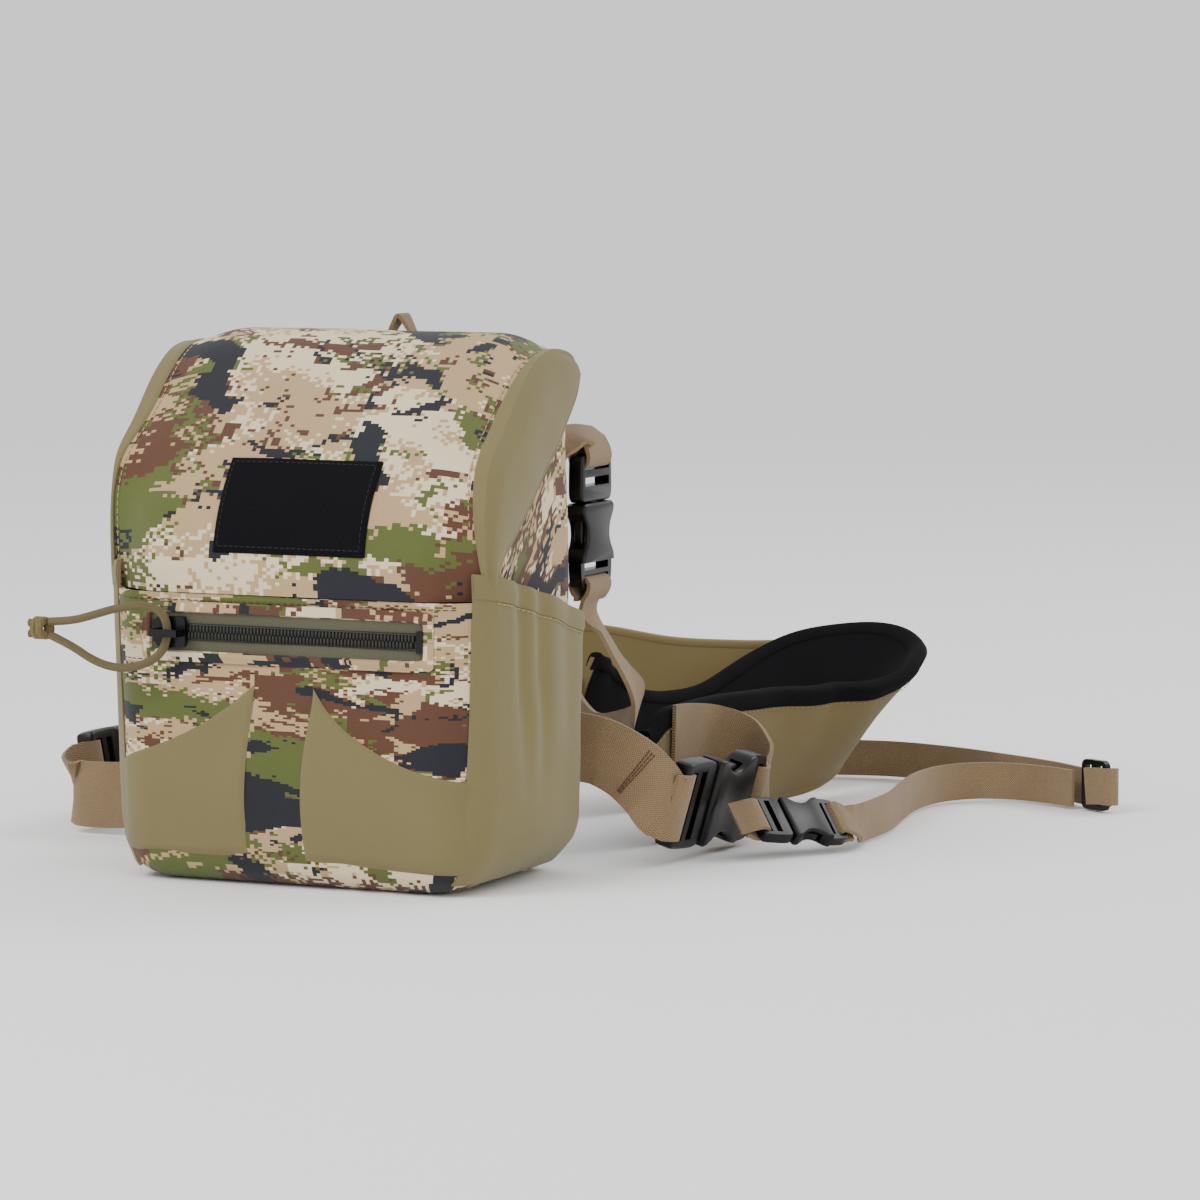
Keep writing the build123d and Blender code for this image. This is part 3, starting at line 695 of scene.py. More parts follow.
def make_front():
    """The two stretch panels low on the front, with their seams."""
    for side, word in SIDES:
        inner, upper = dart_edges(side)

        def place(across, along, lift=0.0):
            top = upper(across)
            z = lerp(10.5 - 3.0 * across * (side > 0), top.y, along)
            start = inner(min(max((z - 7) / 65, 0), 1)).x
            x = lerp(lerp(start, side * 71.8, across), top.x, along ** 6)
            edge = min(across / 0.03, (1 - along) / 0.04, along / 0.05, 1)
            return front_point(x, z, lift + 0.15 + 0.75 * ease(edge) + ripple(x, 0, z, 26, 0.7, 5.0 + side))

        panel = cloth(f"stretch_panel_{word}", 60, 60, lambda u, v: place(facing(side, u), v), (60, 66),
                      thickness=0.8)
        sew(panel, "pack", MATERIALS["stretch"], "stretch_fabric", f"front_dart_{word}")


ZIP_LOW, ZIP_HIGH = node_box("zipper_tape")
TEETH_LOW, TEETH_HIGH = node_box("zipper_coils")


def make_zip():
    """The zip: its tape, two rows of teeth, the folded camo around them and the stitching."""
    left, right, low, high = ZIP_LOW.x - 1, ZIP_HIGH.x + 1, ZIP_LOW.z - 1, ZIP_HIGH.z + 1

    def tape(across, along):
        x, z = lerp(left, right, across), lerp(low, high, along)
        return Vector((x, min(front_point(x, z, 0.35).y, -46.6), z))

    strip = cloth("zip_tape", 60, 12, tape, (right - left, high - low), thickness=0.5)
    sew(strip, "pack", MATERIALS["tape"], "zip_tape", "zipper_tape")

    middle = (TEETH_LOW.z + TEETH_HIGH.z) / 2
    pitch, rows = 1.35, []
    count = int((TEETH_HIGH.x - TEETH_LOW.x) / pitch)
    for row in (-1, 1):
        deselect()
        bpy.ops.mesh.primitive_uv_sphere_add(segments=8, ring_count=6, radius=0.5 * MM, location=(0, 0, 0))
        bpy.ops.transform.resize(value=(1.3, 2.2, 3.0))
        bpy.ops.object.transform_apply(location=False, rotation=False, scale=True)
        tooth = bpy.context.object
        apply_modifier(tooth, "ARRAY", count=count, use_relative_offset=False, use_constant_offset=True,
                       constant_offset_displace=(pitch * MM, 0, 0))
        shift = Vector((TEETH_LOW.x + pitch * (0.75 + 0.25 * row), (TEETH_LOW.y + TEETH_HIGH.y) / 2 - 0.1,
                        middle + row * 1.15))
        tooth.data.transform(Matrix.Translation(shift * MM))
        rows.append(tooth)
    for row in (-1, 1):
        rows.append(tube(f"zip_cord_{row}", lambda t, row=row: (
            Vector((lerp(TEETH_LOW.x, TEETH_HIGH.x, t), TEETH_HIGH.y - 0.5, middle + row * 2.5)),
            UP, Vector((0, -1, 0))), 100, 0.55, 0.8, 3, steps=12, sides=8))
    teeth = join("zip_teeth", rows)
    smooth(teeth, 80)
    sew(teeth, "pack", MATERIALS["teeth"], "zip_coil", "zipper_coils")

    def frame_at(around, out):
        wide, tall = (right - left) / 2 - 1.5, (high - low) / 2 - 1.0
        spread = boxy_turn(around, 0.12)
        reach = 3.4 * out
        return ((left + right) / 2 + spread[0] * (wide + reach),
                (low + high) / 2 + spread[1] * (tall + reach))

    def surround(around, out):
        x, z = frame_at(around, out)
        lift = 0.1 + 0.95 * (1 - ease(out)) - (0.8 if out < 0.03 else 0)
        return front_point(x, z, lift)

    def surround_lay(around, out):
        x, z = frame_at(around, out)
        return x + 330, z + 40

    welt = cloth("zip_welt", 240, 12, surround, (250, 6), thickness=0.5, closed=True, lay=surround_lay)
    sew(welt, "pack", MATERIALS["camo"], "camo_fabric")
    for name, heights in (("above", (101.2, 101.4)), ("below", (79.6, 79.2))):
        line = [front_point(x, lerp(*heights, (x + 66) / 132), 0.3) for x in range(-66, 69, 6)]
        row = stitches(f"zip_stitches_{name}", line, (0, -1, 0))
        sew(row, "pack", MATERIALS["brown_thread"], "camo_fabric")


# ---------------------------------------------------------------- side pockets

POCKET_FRONT, POCKET_REAR = -40.5, 45.0


def pocket_top(y):
    """The height of a side pocket's mouth at a depth."""
    share = (y - POCKET_FRONT) / (POCKET_REAR - POCKET_FRONT)
    return lerp(113.5, 92, 0.4 * ease(share) + 0.6 * share)


def pocket_point(side, across, along, lift=0.0):
    """A point of a side pocket, from its front seam to its rear and from its bottom to its mouth."""
    y = lerp(POCKET_FRONT, POCKET_REAR, across)
    z = lerp(4.0, pocket_top(y), along)
    rise = math.sin(math.pi / 2 * min(1, along / 0.2))
    belly = math.sin(math.pi * min(max(across ** 1.25, 0.001), 0.999)) ** 0.6
    fold = 0.0
    for centre, size, depth in ((0.27, 0.05, 2.6), (0.41, 0.05, 2.2), (0.66, 0.10, 1.8)):
        drift = centre + 0.05 * (1 - along)
        fold -= depth * math.exp(-((across - drift) / size) ** 2) * ease((along - 0.15) / 0.6)
    wave = ripple(y, side, z, 26, 1.3, 9.0) * belly
    out = 0.5 + belly * rise * (9.6 - 1.2 * along ** 3) + (fold + wave) * min(belly * 2, 1) + lift
    return Vector((side * (side_wall(y, z) + out), y, z))


def make_pockets():
    """The two stretch side pockets with their turned hems and seams."""
    for side, word in SIDES:
        def wall(across, along):
            return pocket_point(side, facing(side, across), along)

        def fold(across, along):
            lift = 0.35 + 0.45 * math.sin(math.pi * along)
            return pocket_point(side, facing(side, across), lerp(0.925, 1.004, along), lift)

        pocket = cloth(f"pocket_{word}", 70, 80, wall, (92, 106), thickness=1.2)
        sew(pocket, "pack", MATERIALS["stretch"], "stretch_fabric", f"side_pocket_{word}")
        hem = cloth(f"pocket_hem_{word}", 70, 10, fold, (92, 9), thickness=2.0)
        sew(hem, "pack", MATERIALS["stretch"], "stretch_fabric", *(["pocket_hems"] if side > 0 else []))
        line = [pocket_point(side, t / 12, 0.918, 0.25) for t in range(1, 12)]
        row = stitches(f"pocket_stitches_{word}", line, (side, 0, 0), pitch=2.4)
        sew(row, "pack", MATERIALS["thread"], "stretch_fabric")


# ---------------------------------------------------------------- lid

def make_lid():
    """The hood: its camo top, its two stretch wings and its bindings."""
    hood = cloth("lid_hood", 110, 110, lambda u, v: lid_point(lerp(-LID_HALF, LID_HALF, u), v),
                 (2 * LID_HALF, LID_LENGTH), thickness=2.2)
    sew(hood, "lid", MATERIALS["camo"], "camo_fabric", "lid_shell")
    for side, word in SIDES:
        def wing(across, along):
            front, rear = lid_edge(along), wing_rear(along)
            lap = 0.16
            if across < lap:
                # The seam lies a little way in from the side, and the wing turns the corner from it
                reach = across / lap
                rise = ease((along - 0.22) / 0.35) if side < 0 else math.sin(math.pi * min(along * 1.15, 1))
                inset = 6.5 * (0.15 + 0.85 * rise) * (1 - reach)
                return lid_point(side * (LID_HALF - inset), along, 0.15 + 0.75 * ease(reach * 6))
            across = (across - lap) / (1 - lap)
            place = front.lerp(rear, across)
            long_swell = math.sin(math.pi * min(max(along, 0), 1)) ** 0.5
            swell = 2.6 * math.sin(math.pi * across) ** 0.8 * long_swell
            wave = ripple(place.x, side, place.y, 20, 0.8, 4.0) * ease(across * 4)
            x = LID_HALF + 0.9 * ease(across / 0.2) + swell + wave
            return Vector((side * x, place.x, place.y))

        panel = cloth(f"wing_{word}", 40, 90, lambda across, along: wing(facing(side, across), along),
                      (26, EDGE_LENGTH), thickness=1.2)
        sew(panel, "lid", MATERIALS["stretch"], "stretch_fabric", f"lid_wing_{word}")
        row = stitches(f"wing_stitches_{word}",
                       [wing(0.0, t / 20) * 1.0 + Vector((-side * 1.6, -0.2, 0.1)) for t in range(1, 20)],
                       lambda point: Vector((0, point.y - 20, point.z - 120)))
        sew(row, "lid", MATERIALS["thread"], "camo_fabric")

        def rear(along):
            sideways = Vector((side, 0, 0))
            return wing(1.0, along) - sideways * 0.6, sideways, Vector((0, 0.7, -0.7))

        edge = tube(f"wing_binding_{word}", rear, REAR_LENGTH, 1.0, 1.2, 7, steps=90, sides=10)
        sew(edge, "lid", MATERIALS["stretch"], "stretch_fabric")

    def lip(along):
        return lid_point(lerp(-LID_HALF, LID_HALF, along), 0.998, -1.1), Vector((0, -1, 0)), UP

    rear_lip = tube("lid_binding", lip, 150, 1.8, 2.0, 10, steps=90, sides=10, boxy=0.8)
    sew(rear_lip, "lid", MATERIALS["binding"], "lining")


def make_patch():
    """The plain black patch on the lid's front, with its stitched border."""
    low, high = node_box("lid_patch")
    bottom, top = along_at_height(low.z), along_at_height(high.z)

    def place(across, along):
        edge = min(across, 1 - across) * (high.x - low.x), min(along, 1 - along) * (high.z - low.z)
        lift = 0.3 + 0.9 * ease(min(edge) / 1.0)
        return lid_point(lerp(low.x, high.x, across), lerp(bottom, top, along), lift)

    patch = cloth("plain_patch", 80, 50, place, (60, 36), thickness=0.8)
    sew(patch, "lid", MATERIALS["black"], "dark_fabric", "lid_patch")
    inset = 2.0
    across, along = inset / (high.x - low.x), inset / (high.z - low.z)
    corners = [(across, along), (1 - across, along), (1 - across, 1 - along), (across, 1 - along)]
    sides = []
    for name, a, b in zip("abcd", corners, corners[1:] + corners[:1]):
        points = [place(lerp(a[0], b[0], t / 6), lerp(a[1], b[1], t / 6)) for t in range(7)]
        sides.append(stitches(f"patch_row_{name}", points, (0, -0.85, 0.5), pitch=2.2, length=1.5,
                              width=0.32))
    border = join("patch_stitches", sides)
    sew(border, "lid", MATERIALS["dark_thread"], "dark_fabric")


# ---------------------------------------------------------------- webbing and pads

def band_path(stations):
    """A smooth band's centre, way across and way outwards at each share of its length, and the length."""
    centre, length = curve_through([place for place, _ in stations])
    marks = [0.0]
    for (before, _), (after, _) in zip(stations, stations[1:]):
        marks.append(marks[-1] + (Vector(after) - Vector(before)).length)

    def at(share):
        reach = min(max(share, 0.0), 1.0) * marks[-1]
        i = max(k for k in range(len(marks) - 1) if marks[k] <= reach + 1e-9)
        t = ease((reach - marks[i]) / (marks[i + 1] - marks[i]))
        ahead = (centre(share + 0.004) - centre(share - 0.004)).normalized()
        across = Vector(stations[i][1]).normalized().lerp(Vector(stations[i + 1][1]).normalized(), t)
        across = (across - ahead * across.dot(ahead)).normalized()
        return centre(share), across, ahead.cross(across)

    return at, length


BUCKLES = {
    "upper_right": ((68, 63, 132), (0, 0, -1), (0, 1, 0), 0.72),
    "upper_left": ((-68, 63, 132), (0, 0, -1), (0, 1, 0), 0.72),
    "lower_right": ((101.7, 86.5, 21), (0.08, 0.99, -0.05), (0.26, 0, 0.966), 0.92),
    "lower_left": ((-143, 88, 19.8), (0, 0.999, -0.02), (-0.2, 0, 0.98), 0.92),
    "torso": ((126, 108, 12.5), (0.57, 0.81, -0.1), (-0.62, 0.44, 0.64), 0.55),
}
MALE_LENGTH, FEMALE_LENGTH = 24.0, 43.0
BAR_HALF = 3.5              # half the height of a buckle's bars at scale 1


def buckle_axes(name):
    """A buckle's origin, its ways along, across and out, and its scale."""
    origin, along, across, size = BUCKLES[name]
    along = Vector(along).normalized()
    across = Vector(across)
    across = (across - along * across.dot(along)).normalized()
    return Vector(origin), along, across, along.cross(across), size


def looped(name, end, tail):
    """Stations of webbing that passes through a buckle's end slot and round its bar, tail first.

    end is -1 at the male end and 1 at the female end; tail is the length of the webbing's return."""
    origin, along, across, out, size = buckle_axes(name)
    bar, slot = (22.3, 18.4) if end < 0 else (41.8, 38.6)
    over = BAR_HALF * size + 1.2
    rim = MALE_LENGTH if end < 0 else FEMALE_LENGTH
    past = (rim + 1.5) * size + 1
    steps = [(rim * size + tail, -1.7), (rim * size + 0.6 * tail, -1.8), (past, -0.8 * over),
             (bar * size, -over), (slot * size + 0.4, -0.75 * over), (slot * size - 0.4, 0),
             (slot * size + 0.4, 0.75 * over), (bar * size, over), (past, 0.8 * over),
             (rim * size + 6, 0.6)]
    return [(tuple(origin + along * end * reach + out * rise), tuple(across)) for reach, rise in steps]


def on_edge(points):
    """Stations of a band that stands on its edge."""
    return [(point, (0, 0, 1)) for point in points]


def mirror_x(stations):
    """The same stations on the other side of the pack."""
    return [((-x, y, z), (-across[0], across[1], across[2])) for (x, y, z), across in stations]


UPPER_ANCHOR = [((55, 47.2, 152), (-0.6, 0.1, 0.8)), ((60, 53.5, 154.5), (-0.65, 0.6, 0.45)),
                ((65, 59.5, 156.5), (-0.45, 0.85, 0.25))]
LOWER_ANCHOR_RIGHT = on_edge([(66, 46.8, 44.5), (73, 48, 43.5), (80, 48.5, 42), (90, 50.5, 36.5),
                              (96, 53.5, 30)])
LOWER_ANCHOR_LEFT = on_edge([(-66, 46.8, 28), (-74, 48, 25.5), (-90, 49.5, 21), (-115, 50.5, 16),
                             (-137, 51, 15), (-142.5, 53.5, 16)])
UPPER_STRAP_RIGHT = [((69, 67.5, 87), (-0.4, 1, 0)), ((72.8, 73, 76), (-0.4, 1, 0.1)),
                     ((76, 79, 66), (-0.4, 1, 0.2)), ((74, 92, 54), (-0.1, 0.8, 0.8)),
                     ((62, 108, 44), (0.3, 0.4, 1)), ((48, 124, 38), (0.1, 0.2, 1)),
                     ((34, 140, 36), (0, 0.1, 1)), ((22, 155, 40), (0, 0, 1)),
                     ((12.8, 169.5, 44), (0, 0, 1)), ((12.6, 180, 44), (0, 0, 1))]
UPPER_STRAP_LEFT = [((-69, 71, 88), (0.6, 0.8, 0)), ((-74, 86, 83), (0.9, 0.3, 0)),
                    ((-82, 116, 74), (1, 0.2, 0)), ((-88, 146, 62), (0.8, 0.2, 0.5)),
                    ((-91.0, 170, 53), (0.2, 0, 1)), ((-91.2, 184, 50), (0, 0, 1)),
                    ((-91.4, 194, 48), (0, 0, 1))]
LOWER_WEBBING_RIGHT = on_edge([(105.8, 140, 20), (101, 147, 26), (91, 151, 33), (82, 147, 37),
                               (78.4, 134, 39), (77.2, 118, 40)])
LOWER_WEBBING_LEFT = on_edge([(-142.5, 141, 19.5), (-138, 146, 23), (-129, 146, 27), (-120.5, 138, 30),
                              (-114.2, 127, 31)])
TORSO_TAB = [((113.6, 90.5, 14.5), (-0.62, 0.44, 0.64))]
STRAP_HEIGHT = 8.1
TORSO_NEAR_ROUTE = [(142, 148), (140, 178), (133, 210), (128, 238), (129, 262), (138, 277), (152, 281),
                    (168, 277), (181, 270.6)]
TORSO_FAR_ROUTE = [(193, 270), (185, 277), (165, 293), (141, 307), (112, 321), (84, 328), (60, 324),
                   (36, 314), (8, 304), (-14, 301), (-32, 296)]
TORSO_NEAR = ([((143, 137, 8.6), (-0.3, 0.1, 1))]
              + on_edge([(x, y, STRAP_HEIGHT) for x, y in TORSO_NEAR_ROUTE]))
TORSO_FAR = on_edge([(x, y, STRAP_HEIGHT) for x, y in TORSO_FAR_ROUTE])
# Round the tri-glide's end bar, from the near ply to the far one
GLIDE_LOOP = on_edge([(187, 268.6, 9.6), (191, 267.2, 10), (196.5, 264.8, 10.2), (199, 264.2, 10.2),
                      (200.4, 266.3, 10.2), (199, 268.4, 10), (196.5, 268.6, 9.6)])
PAD_BRIDGE = on_edge([(65, 326, 38), (60, 334, 34), (54, 341, 31), (49, 346, 29)])


def strip(name, stations, width):
    """A webbing along its stations."""
    path, length = band_path(stations)

    def place(across, along):
        centre, sideways, _ = path(along)
        return centre + sideways * (across - 0.5) * width

    thickness = bpy.context.scene.pack_sizes.webbing_thickness / MM
    return cloth(name, 8, max(int(length / 1.6), 12), place, (width, length), thickness=thickness,
                 offset=0.0, angle=40)


def fixed_webbing(name, stations, width, *nodes):
    """A webbing that stays with the pack."""
    return sew(strip(name, stations, width), "pack", MATERIALS["webbing"], "webbing", *nodes)


def free_webbing(name, stations, width, node, buckle):
    """A webbing looped through a buckle's female half, with its material but no body."""
    piece = strip(name, looped(buckle, 1, 5) + stations, width)
    piece.data.materials.append(MATERIALS["webbing"])
    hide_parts(node)
    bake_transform(piece)
    return piece


def stitch_bar(name, stations, width, share):
    """A dense bar of stitches across both faces of a webbing, at a share of its length."""
    path, _ = band_path(stations)
    rows = []
    for k, (shift, face) in enumerate([(0, 1), (0.012, 1), (0.024, 1), (0, -1), (0.012, -1), (0.024, -1)]):
        centre, sideways, outward = path(share + shift)
        points = [centre + sideways * width * t / 10 + outward * face * 0.95 for t in (-4, -2, 0, 2, 4)]
        rows.append(stitches(f"{name}_{k}", points, outward * face, pitch=1.6, length=1.3, width=0.4))
    bar = join(name, rows)
    return sew(bar, "pack", MATERIALS["brown_thread"], "webbing")


def make_webbing():
    """Every webbing: anchors on the pack, the straps of the harness and the torso strap."""
    for word, side in (("right", lambda stations: stations), ("left", mirror_x)):
        upper = looped(f"upper_{word}", -1, 5) + side(UPPER_ANCHOR)[::-1]
        fixed_webbing(f"upper_anchor_{word}", upper, 19, *(["upper_anchors"] if word == "right" else []))
    for word, anchor in (("right", LOWER_ANCHOR_RIGHT), ("left", LOWER_ANCHOR_LEFT)):
        stations = looped(f"lower_{word}", -1, 6) + anchor[::-1]
        fixed_webbing(f"anchor_{word}", stations, 25, f"lower_anchor_{word}")
        stitch_bar(f"anchor_bar_{word}", stations, 24, 0.62)
    fixed_webbing("torso_tab_webbing", looped("torso", -1, 5) + TORSO_TAB, 14.4, "torso_tab")
    fixed_webbing("torso_webbing_far", GLIDE_LOOP + TORSO_FAR, 14.4, "torso_strap_far")
    fixed_webbing("pad_bridge_webbing", PAD_BRIDGE, 20, "pad_bridge")
    free_webbing("upper_webbing_right", UPPER_STRAP_RIGHT, 18.5, "upper_strap_right", "upper_right")
    free_webbing("upper_webbing_left", UPPER_STRAP_LEFT, 18.5, "upper_strap_left", "upper_left")
    free_webbing("lower_loop_right", LOWER_WEBBING_RIGHT, 24, "lower_webbing_right", "lower_right")
    free_webbing("lower_loop_left", LOWER_WEBBING_LEFT, 24, "lower_webbing_left", "lower_left")
    free_webbing("torso_webbing_near", TORSO_NEAR, 14.4, "torso_strap_near", "torso")


LAY_ANGLE = 27.0
RIGHT_PAD = [(70, 105, 47, 90), (83, 123, 33, 70), (99, 140, 24, 52), (117, 158, 22, 46),
             (135, 177, 24, 44), (149, 191, 31, 43), (164, 201, 40.5, 42), (179, 200, 45.5, 42),
             (190, 188, 44, 43), (190, 170, 36.5, 47), (180, 150, 28, 55), (160, 130, 25.5, 66),
             (135, 98, 25.5, 76), (112, 58, 26, 85), (89, 17, 24.8, 90)]
LEFT_PAD = [(-60, 115, 27.5, 90), (-62, 155, 27.5, 90), (-50, 200, 27.5, 90), (-20, 240, 27.5, 90),
            (40, 262, 26, 90), (100, 275, 25, 90), (150, 270, 26, 90), (170, 261, 28, 90),
            (177, 252, 29, 90), (172, 243, 30, 90), (158, 240, 30, 90), (140, 240, 30, 90),
            (110, 242, 31.5, 90), (77, 243, 37, 90), (40, 236, 39, 90), (0, 205, 43, 90),
            (-20, 165, 50, 90)]
BACK_FACE = 47.5            # depth of the pack's back, where the harness's own lay begins
LINING_THICKNESS = 0.8


def lean_stations(route):
    """Stations of a pad from its route in the harness's own lay: (along, into, height, lean)."""
    turn = math.radians(LAY_ANGLE)
    points = [Matrix.Rotation(turn, 3, "Z") @ Vector((u, w, z)) + Vector((0, BACK_FACE, 0))
              for u, w, z, _ in route]
    stations = []
    for i, (_, _, _, lean) in enumerate(route):
        ahead = points[min(i + 1, len(points) - 1)] - points[max(i - 1, 0)]
        level = Vector((-ahead.y, ahead.x, 0)).normalized()
        across = level * math.cos(math.radians(lean)) + UP * math.sin(math.radians(lean))
        stations.append((tuple(points[i]), tuple(across)))
    return stations


def make_pads():
    """The two shoulder pads: knit outside, black inside, one edge bound in black and one turned in."""
    sizes = bpy.context.scene.pack_sizes
    width, thickness = sizes.pad_width / MM, sizes.pad_thickness / MM
    for word, route, bound in (("right", RIGHT_PAD, 1), ("left", LEFT_PAD, -1)):
        path, length = band_path(lean_stations(route))

        def place(across, along, lift=0.0, crown=1.3):
            centre, sideways, outward = path(along)
            share = across * 2 - 1
            taper = 1 - 0.3 * (1 - ease(along / 0.05)) - 0.3 * (1 - ease((1 - along) / 0.05))
            soft = ripple(centre.x, centre.y, across * 30, 30, 0.6, 2.0)
            return (centre + sideways * share * width * 0.49 * taper
                    - outward * (crown * (1 - share ** 2) + soft - lift))

        pad = cloth(f"shoulder_pad_{word}", 24, 240, place, (width, length),
                    thickness=thickness - LINING_THICKNESS, offset=0.0)
        sew(pad, "pack", MATERIALS["pad"], "pad_fabric", f"{word}_pad")
        lining = cloth(f"shoulder_lining_{word}", 20, 240, lambda u, v: place(0.02 + 0.96 * u, v, 2.7, 0.6),
                       (width, length), thickness=LINING_THICKNESS, offset=1.0)
        sew(lining, "pack", MATERIALS["black"], "lining", f"{word}_pad_lining")
        for side, edge_word in ((bound, "bound"), (-bound, "turned")):
            reach = 0.455 if side == bound else 0.475

            def edge(share):
                centre, sideways, outward = path(share)
                return place(0.5 + side * reach, share) + outward * 0.4, sideways, outward

            wide, deep, cover = (3.9, 3.1, "binding") if side == bound else (1.9, 2.9, "pad")
            rim = tube(f"pad_{edge_word}_edge_{word}", edge, length, wide, deep, 14, steps=260, sides=16,
                       boxy=0.6)
            sew(rim, "pack", MATERIALS[cover], "lining" if side == bound else "pad_fabric")
        row = stitches(f"pad_stitches_{word}",
                       [place(0.5 + bound * 0.385, t / 80) - path(t / 80)[2] * 2.75 for t in range(81)],
                       lambda point: Vector((0.4, -1, 0.3)), pitch=3.0)
        sew(row, "pack", MATERIALS["webbing"], "lining")


# ---------------------------------------------------------------- cord and hardware

KNOT_LOW, KNOT_HIGH = node_box("pull_knot")
CORD_DIAMETER = 3.0
PIN_X, PIN_Y, LINE_Y = -43.5, -52.9, -56.9
CORD_ROUTE = [(-89.0, LINE_Y, 92.4), (-80.5, LINE_Y, 92.9), (-72.0, LINE_Y + 0.4, 95.2),
              (-63.0, LINE_Y + 1.0, 98.0), (-54.0, LINE_Y + 2.0, 99.6), (-47.0, LINE_Y + 3.3, 98.6),
              (PIN_X, PIN_Y, 94.0), (PIN_X - 0.2, PIN_Y, 86.6), (-47.0, LINE_Y + 3.3, 81.0),
              (-54.0, LINE_Y + 2.0, 77.6), (-62.5, LINE_Y + 1.0, 76.6), (-71.5, LINE_Y + 0.4, 79.0),
              (-80.5, LINE_Y, 84.4), (-89.0, LINE_Y, 87.6)]


def make_cord():
    """The zip's pull cord, and the knot that closes its loop."""
    deselect()
    curve = bpy.data.curves.new("zip_cord_loop", "CURVE")
    curve.dimensions = "3D"
    curve.bevel_depth = CORD_DIAMETER / 2 * MM
    curve.bevel_resolution = 5
    curve.resolution_u = 12
    curve.use_fill_caps = True
    spline = curve.splines.new("NURBS")
    spline.points.add(len(CORD_ROUTE) - 1)
    for point, place in zip(spline.points, CORD_ROUTE):
        point.co = (place[0] * MM, place[1] * MM, place[2] * MM, 1)
    spline.order_u = 3
    spline.use_endpoint_u = True
    loop = bpy.data.objects.new("zip_cord_loop", curve)
    bpy.context.collection.objects.link(loop)
    sew(loop, "pull", MATERIALS["cord"], "cord", "pull_cord")

    centre = (KNOT_LOW + KNOT_HIGH) / 2
    coils = []
    for turn, (tilt, swing, shift) in enumerate([(20, 80, 1.6), (-25, 95, -1.6), (75, 15, 0.0)]):
        deselect()
        bpy.ops.mesh.primitive_torus_add(
            major_segments=28, minor_segments=12, major_radius=2.7 * MM, minor_radius=1.5 * MM,
            location=(centre + Vector((shift, 0, 0))) * MM,
            rotation=(math.radians(tilt), math.radians(swing), 0.4 * turn))
        bpy.ops.object.transform_apply(location=True, rotation=True, scale=True)
        coils.append(bpy.context.object)
    for z, rise in ((centre.z + 1.0, 0.35), (centre.z - 1.6, -0.3)):
        start = Vector((centre.x - 1.0, centre.y, z))
        coils.append(tube("tail", lambda t, start=start, rise=rise: (
            start + Vector((-3.6 * t, 0, 2 * rise * t)), Vector((0, 1, 0)), UP), 5, 1.5, 1.5, 9,
            steps=6, sides=12))
    knot = join("cord_knot", coils)
    smooth(knot, 80)
    sew(knot, "pull", MATERIALS["cord_placed"], "cord", "pull_knot")


def moulded_plate(name, outline, low, high, bevel=0.9):
    """A plate with rounded edges: a closed outline of (along, across) points between two heights."""
    deselect()
    bpy.ops.mesh.primitive_circle_add(vertices=len(outline), radius=1, fill_type="NGON", location=(0, 0, 0))
    plate = bpy.context.object
    plate.name = name
    for vertex, (x, y) in zip(plate.data.vertices, outline):
        vertex.co = Vector((x, y, low))
    bpy.ops.object.mode_set(mode="EDIT")
    bpy.ops.mesh.select_all(action="SELECT")
    bpy.ops.mesh.extrude_region_move(TRANSFORM_OT_translate={"value": (0, 0, high - low)})
    bpy.ops.object.mode_set(mode="OBJECT")
    face_outwards()
    apply_modifier(plate, "BEVEL", width=bevel, segments=3, limit_method="ANGLE",
                   angle_limit=math.radians(50))
    return plate


def cut_block(plate, low, high):
    """Cuts a block between two corners out of a plate."""
    deselect()
    middle = (Vector(low) + Vector(high)) / 2
    bpy.ops.mesh.primitive_cube_add(size=1, location=middle)
    block = bpy.context.object
    block.scale = Vector(high) - Vector(low)
    bpy.ops.object.transform_apply(location=True, rotation=False, scale=True)
    apply_modifier(plate, "BOOLEAN", operation="DIFFERENCE", object=block, solver="EXACT")
    bpy.data.objects.remove(block, do_unlink=True)


def round_outline(stations):
    """A closed outline from half widths at stations along, smoothed, mirrored across the middle."""
    at, _ = curve_through([(x, y, 0) for x, y in stations])
    upper = [at(t / 22) for t in range(23)]
    return [(p.x, p.y) for p in upper] + [(p.x, -p.y) for p in reversed(upper)]


FEMALE_OUTLINE = [(0.4, 15.6), (1.6, 17.6), (4.5, 18.2), (8, 16.2), (12, 13.6), (17, 12.8), (21, 14.0),
                  (25, 17.0), (28, 18.4), (33, 18.4), (40, 17.6), (42.2, 16.6), (43, 14.5)]
MALE_OUTLINE = [(-24, 14.5), (-23.2, 17.0), (-20, 17.8), (-12, 18.2), (-5, 18.2), (-1.6, 17.4), (0, 15.4)]
PRONG_OUTLINE = [(0.2, 15.0), (5, 14.4), (10, 14.0), (15, 14.9), (18.5, 15.2), (21, 14.2), (22, 12.4),
                 (20, 11.2), (16, 10.6), (12, 9.0), (9, 9.2), (6, 10.5), (0.2, 10.5)]
TONGUE_OUTLINE = [(-1, -3.5), (18, -3.5), (19, -2.5), (19, 2.5), (18, 3.5), (-1, 3.5)]
SLOT_HALF = 14.2


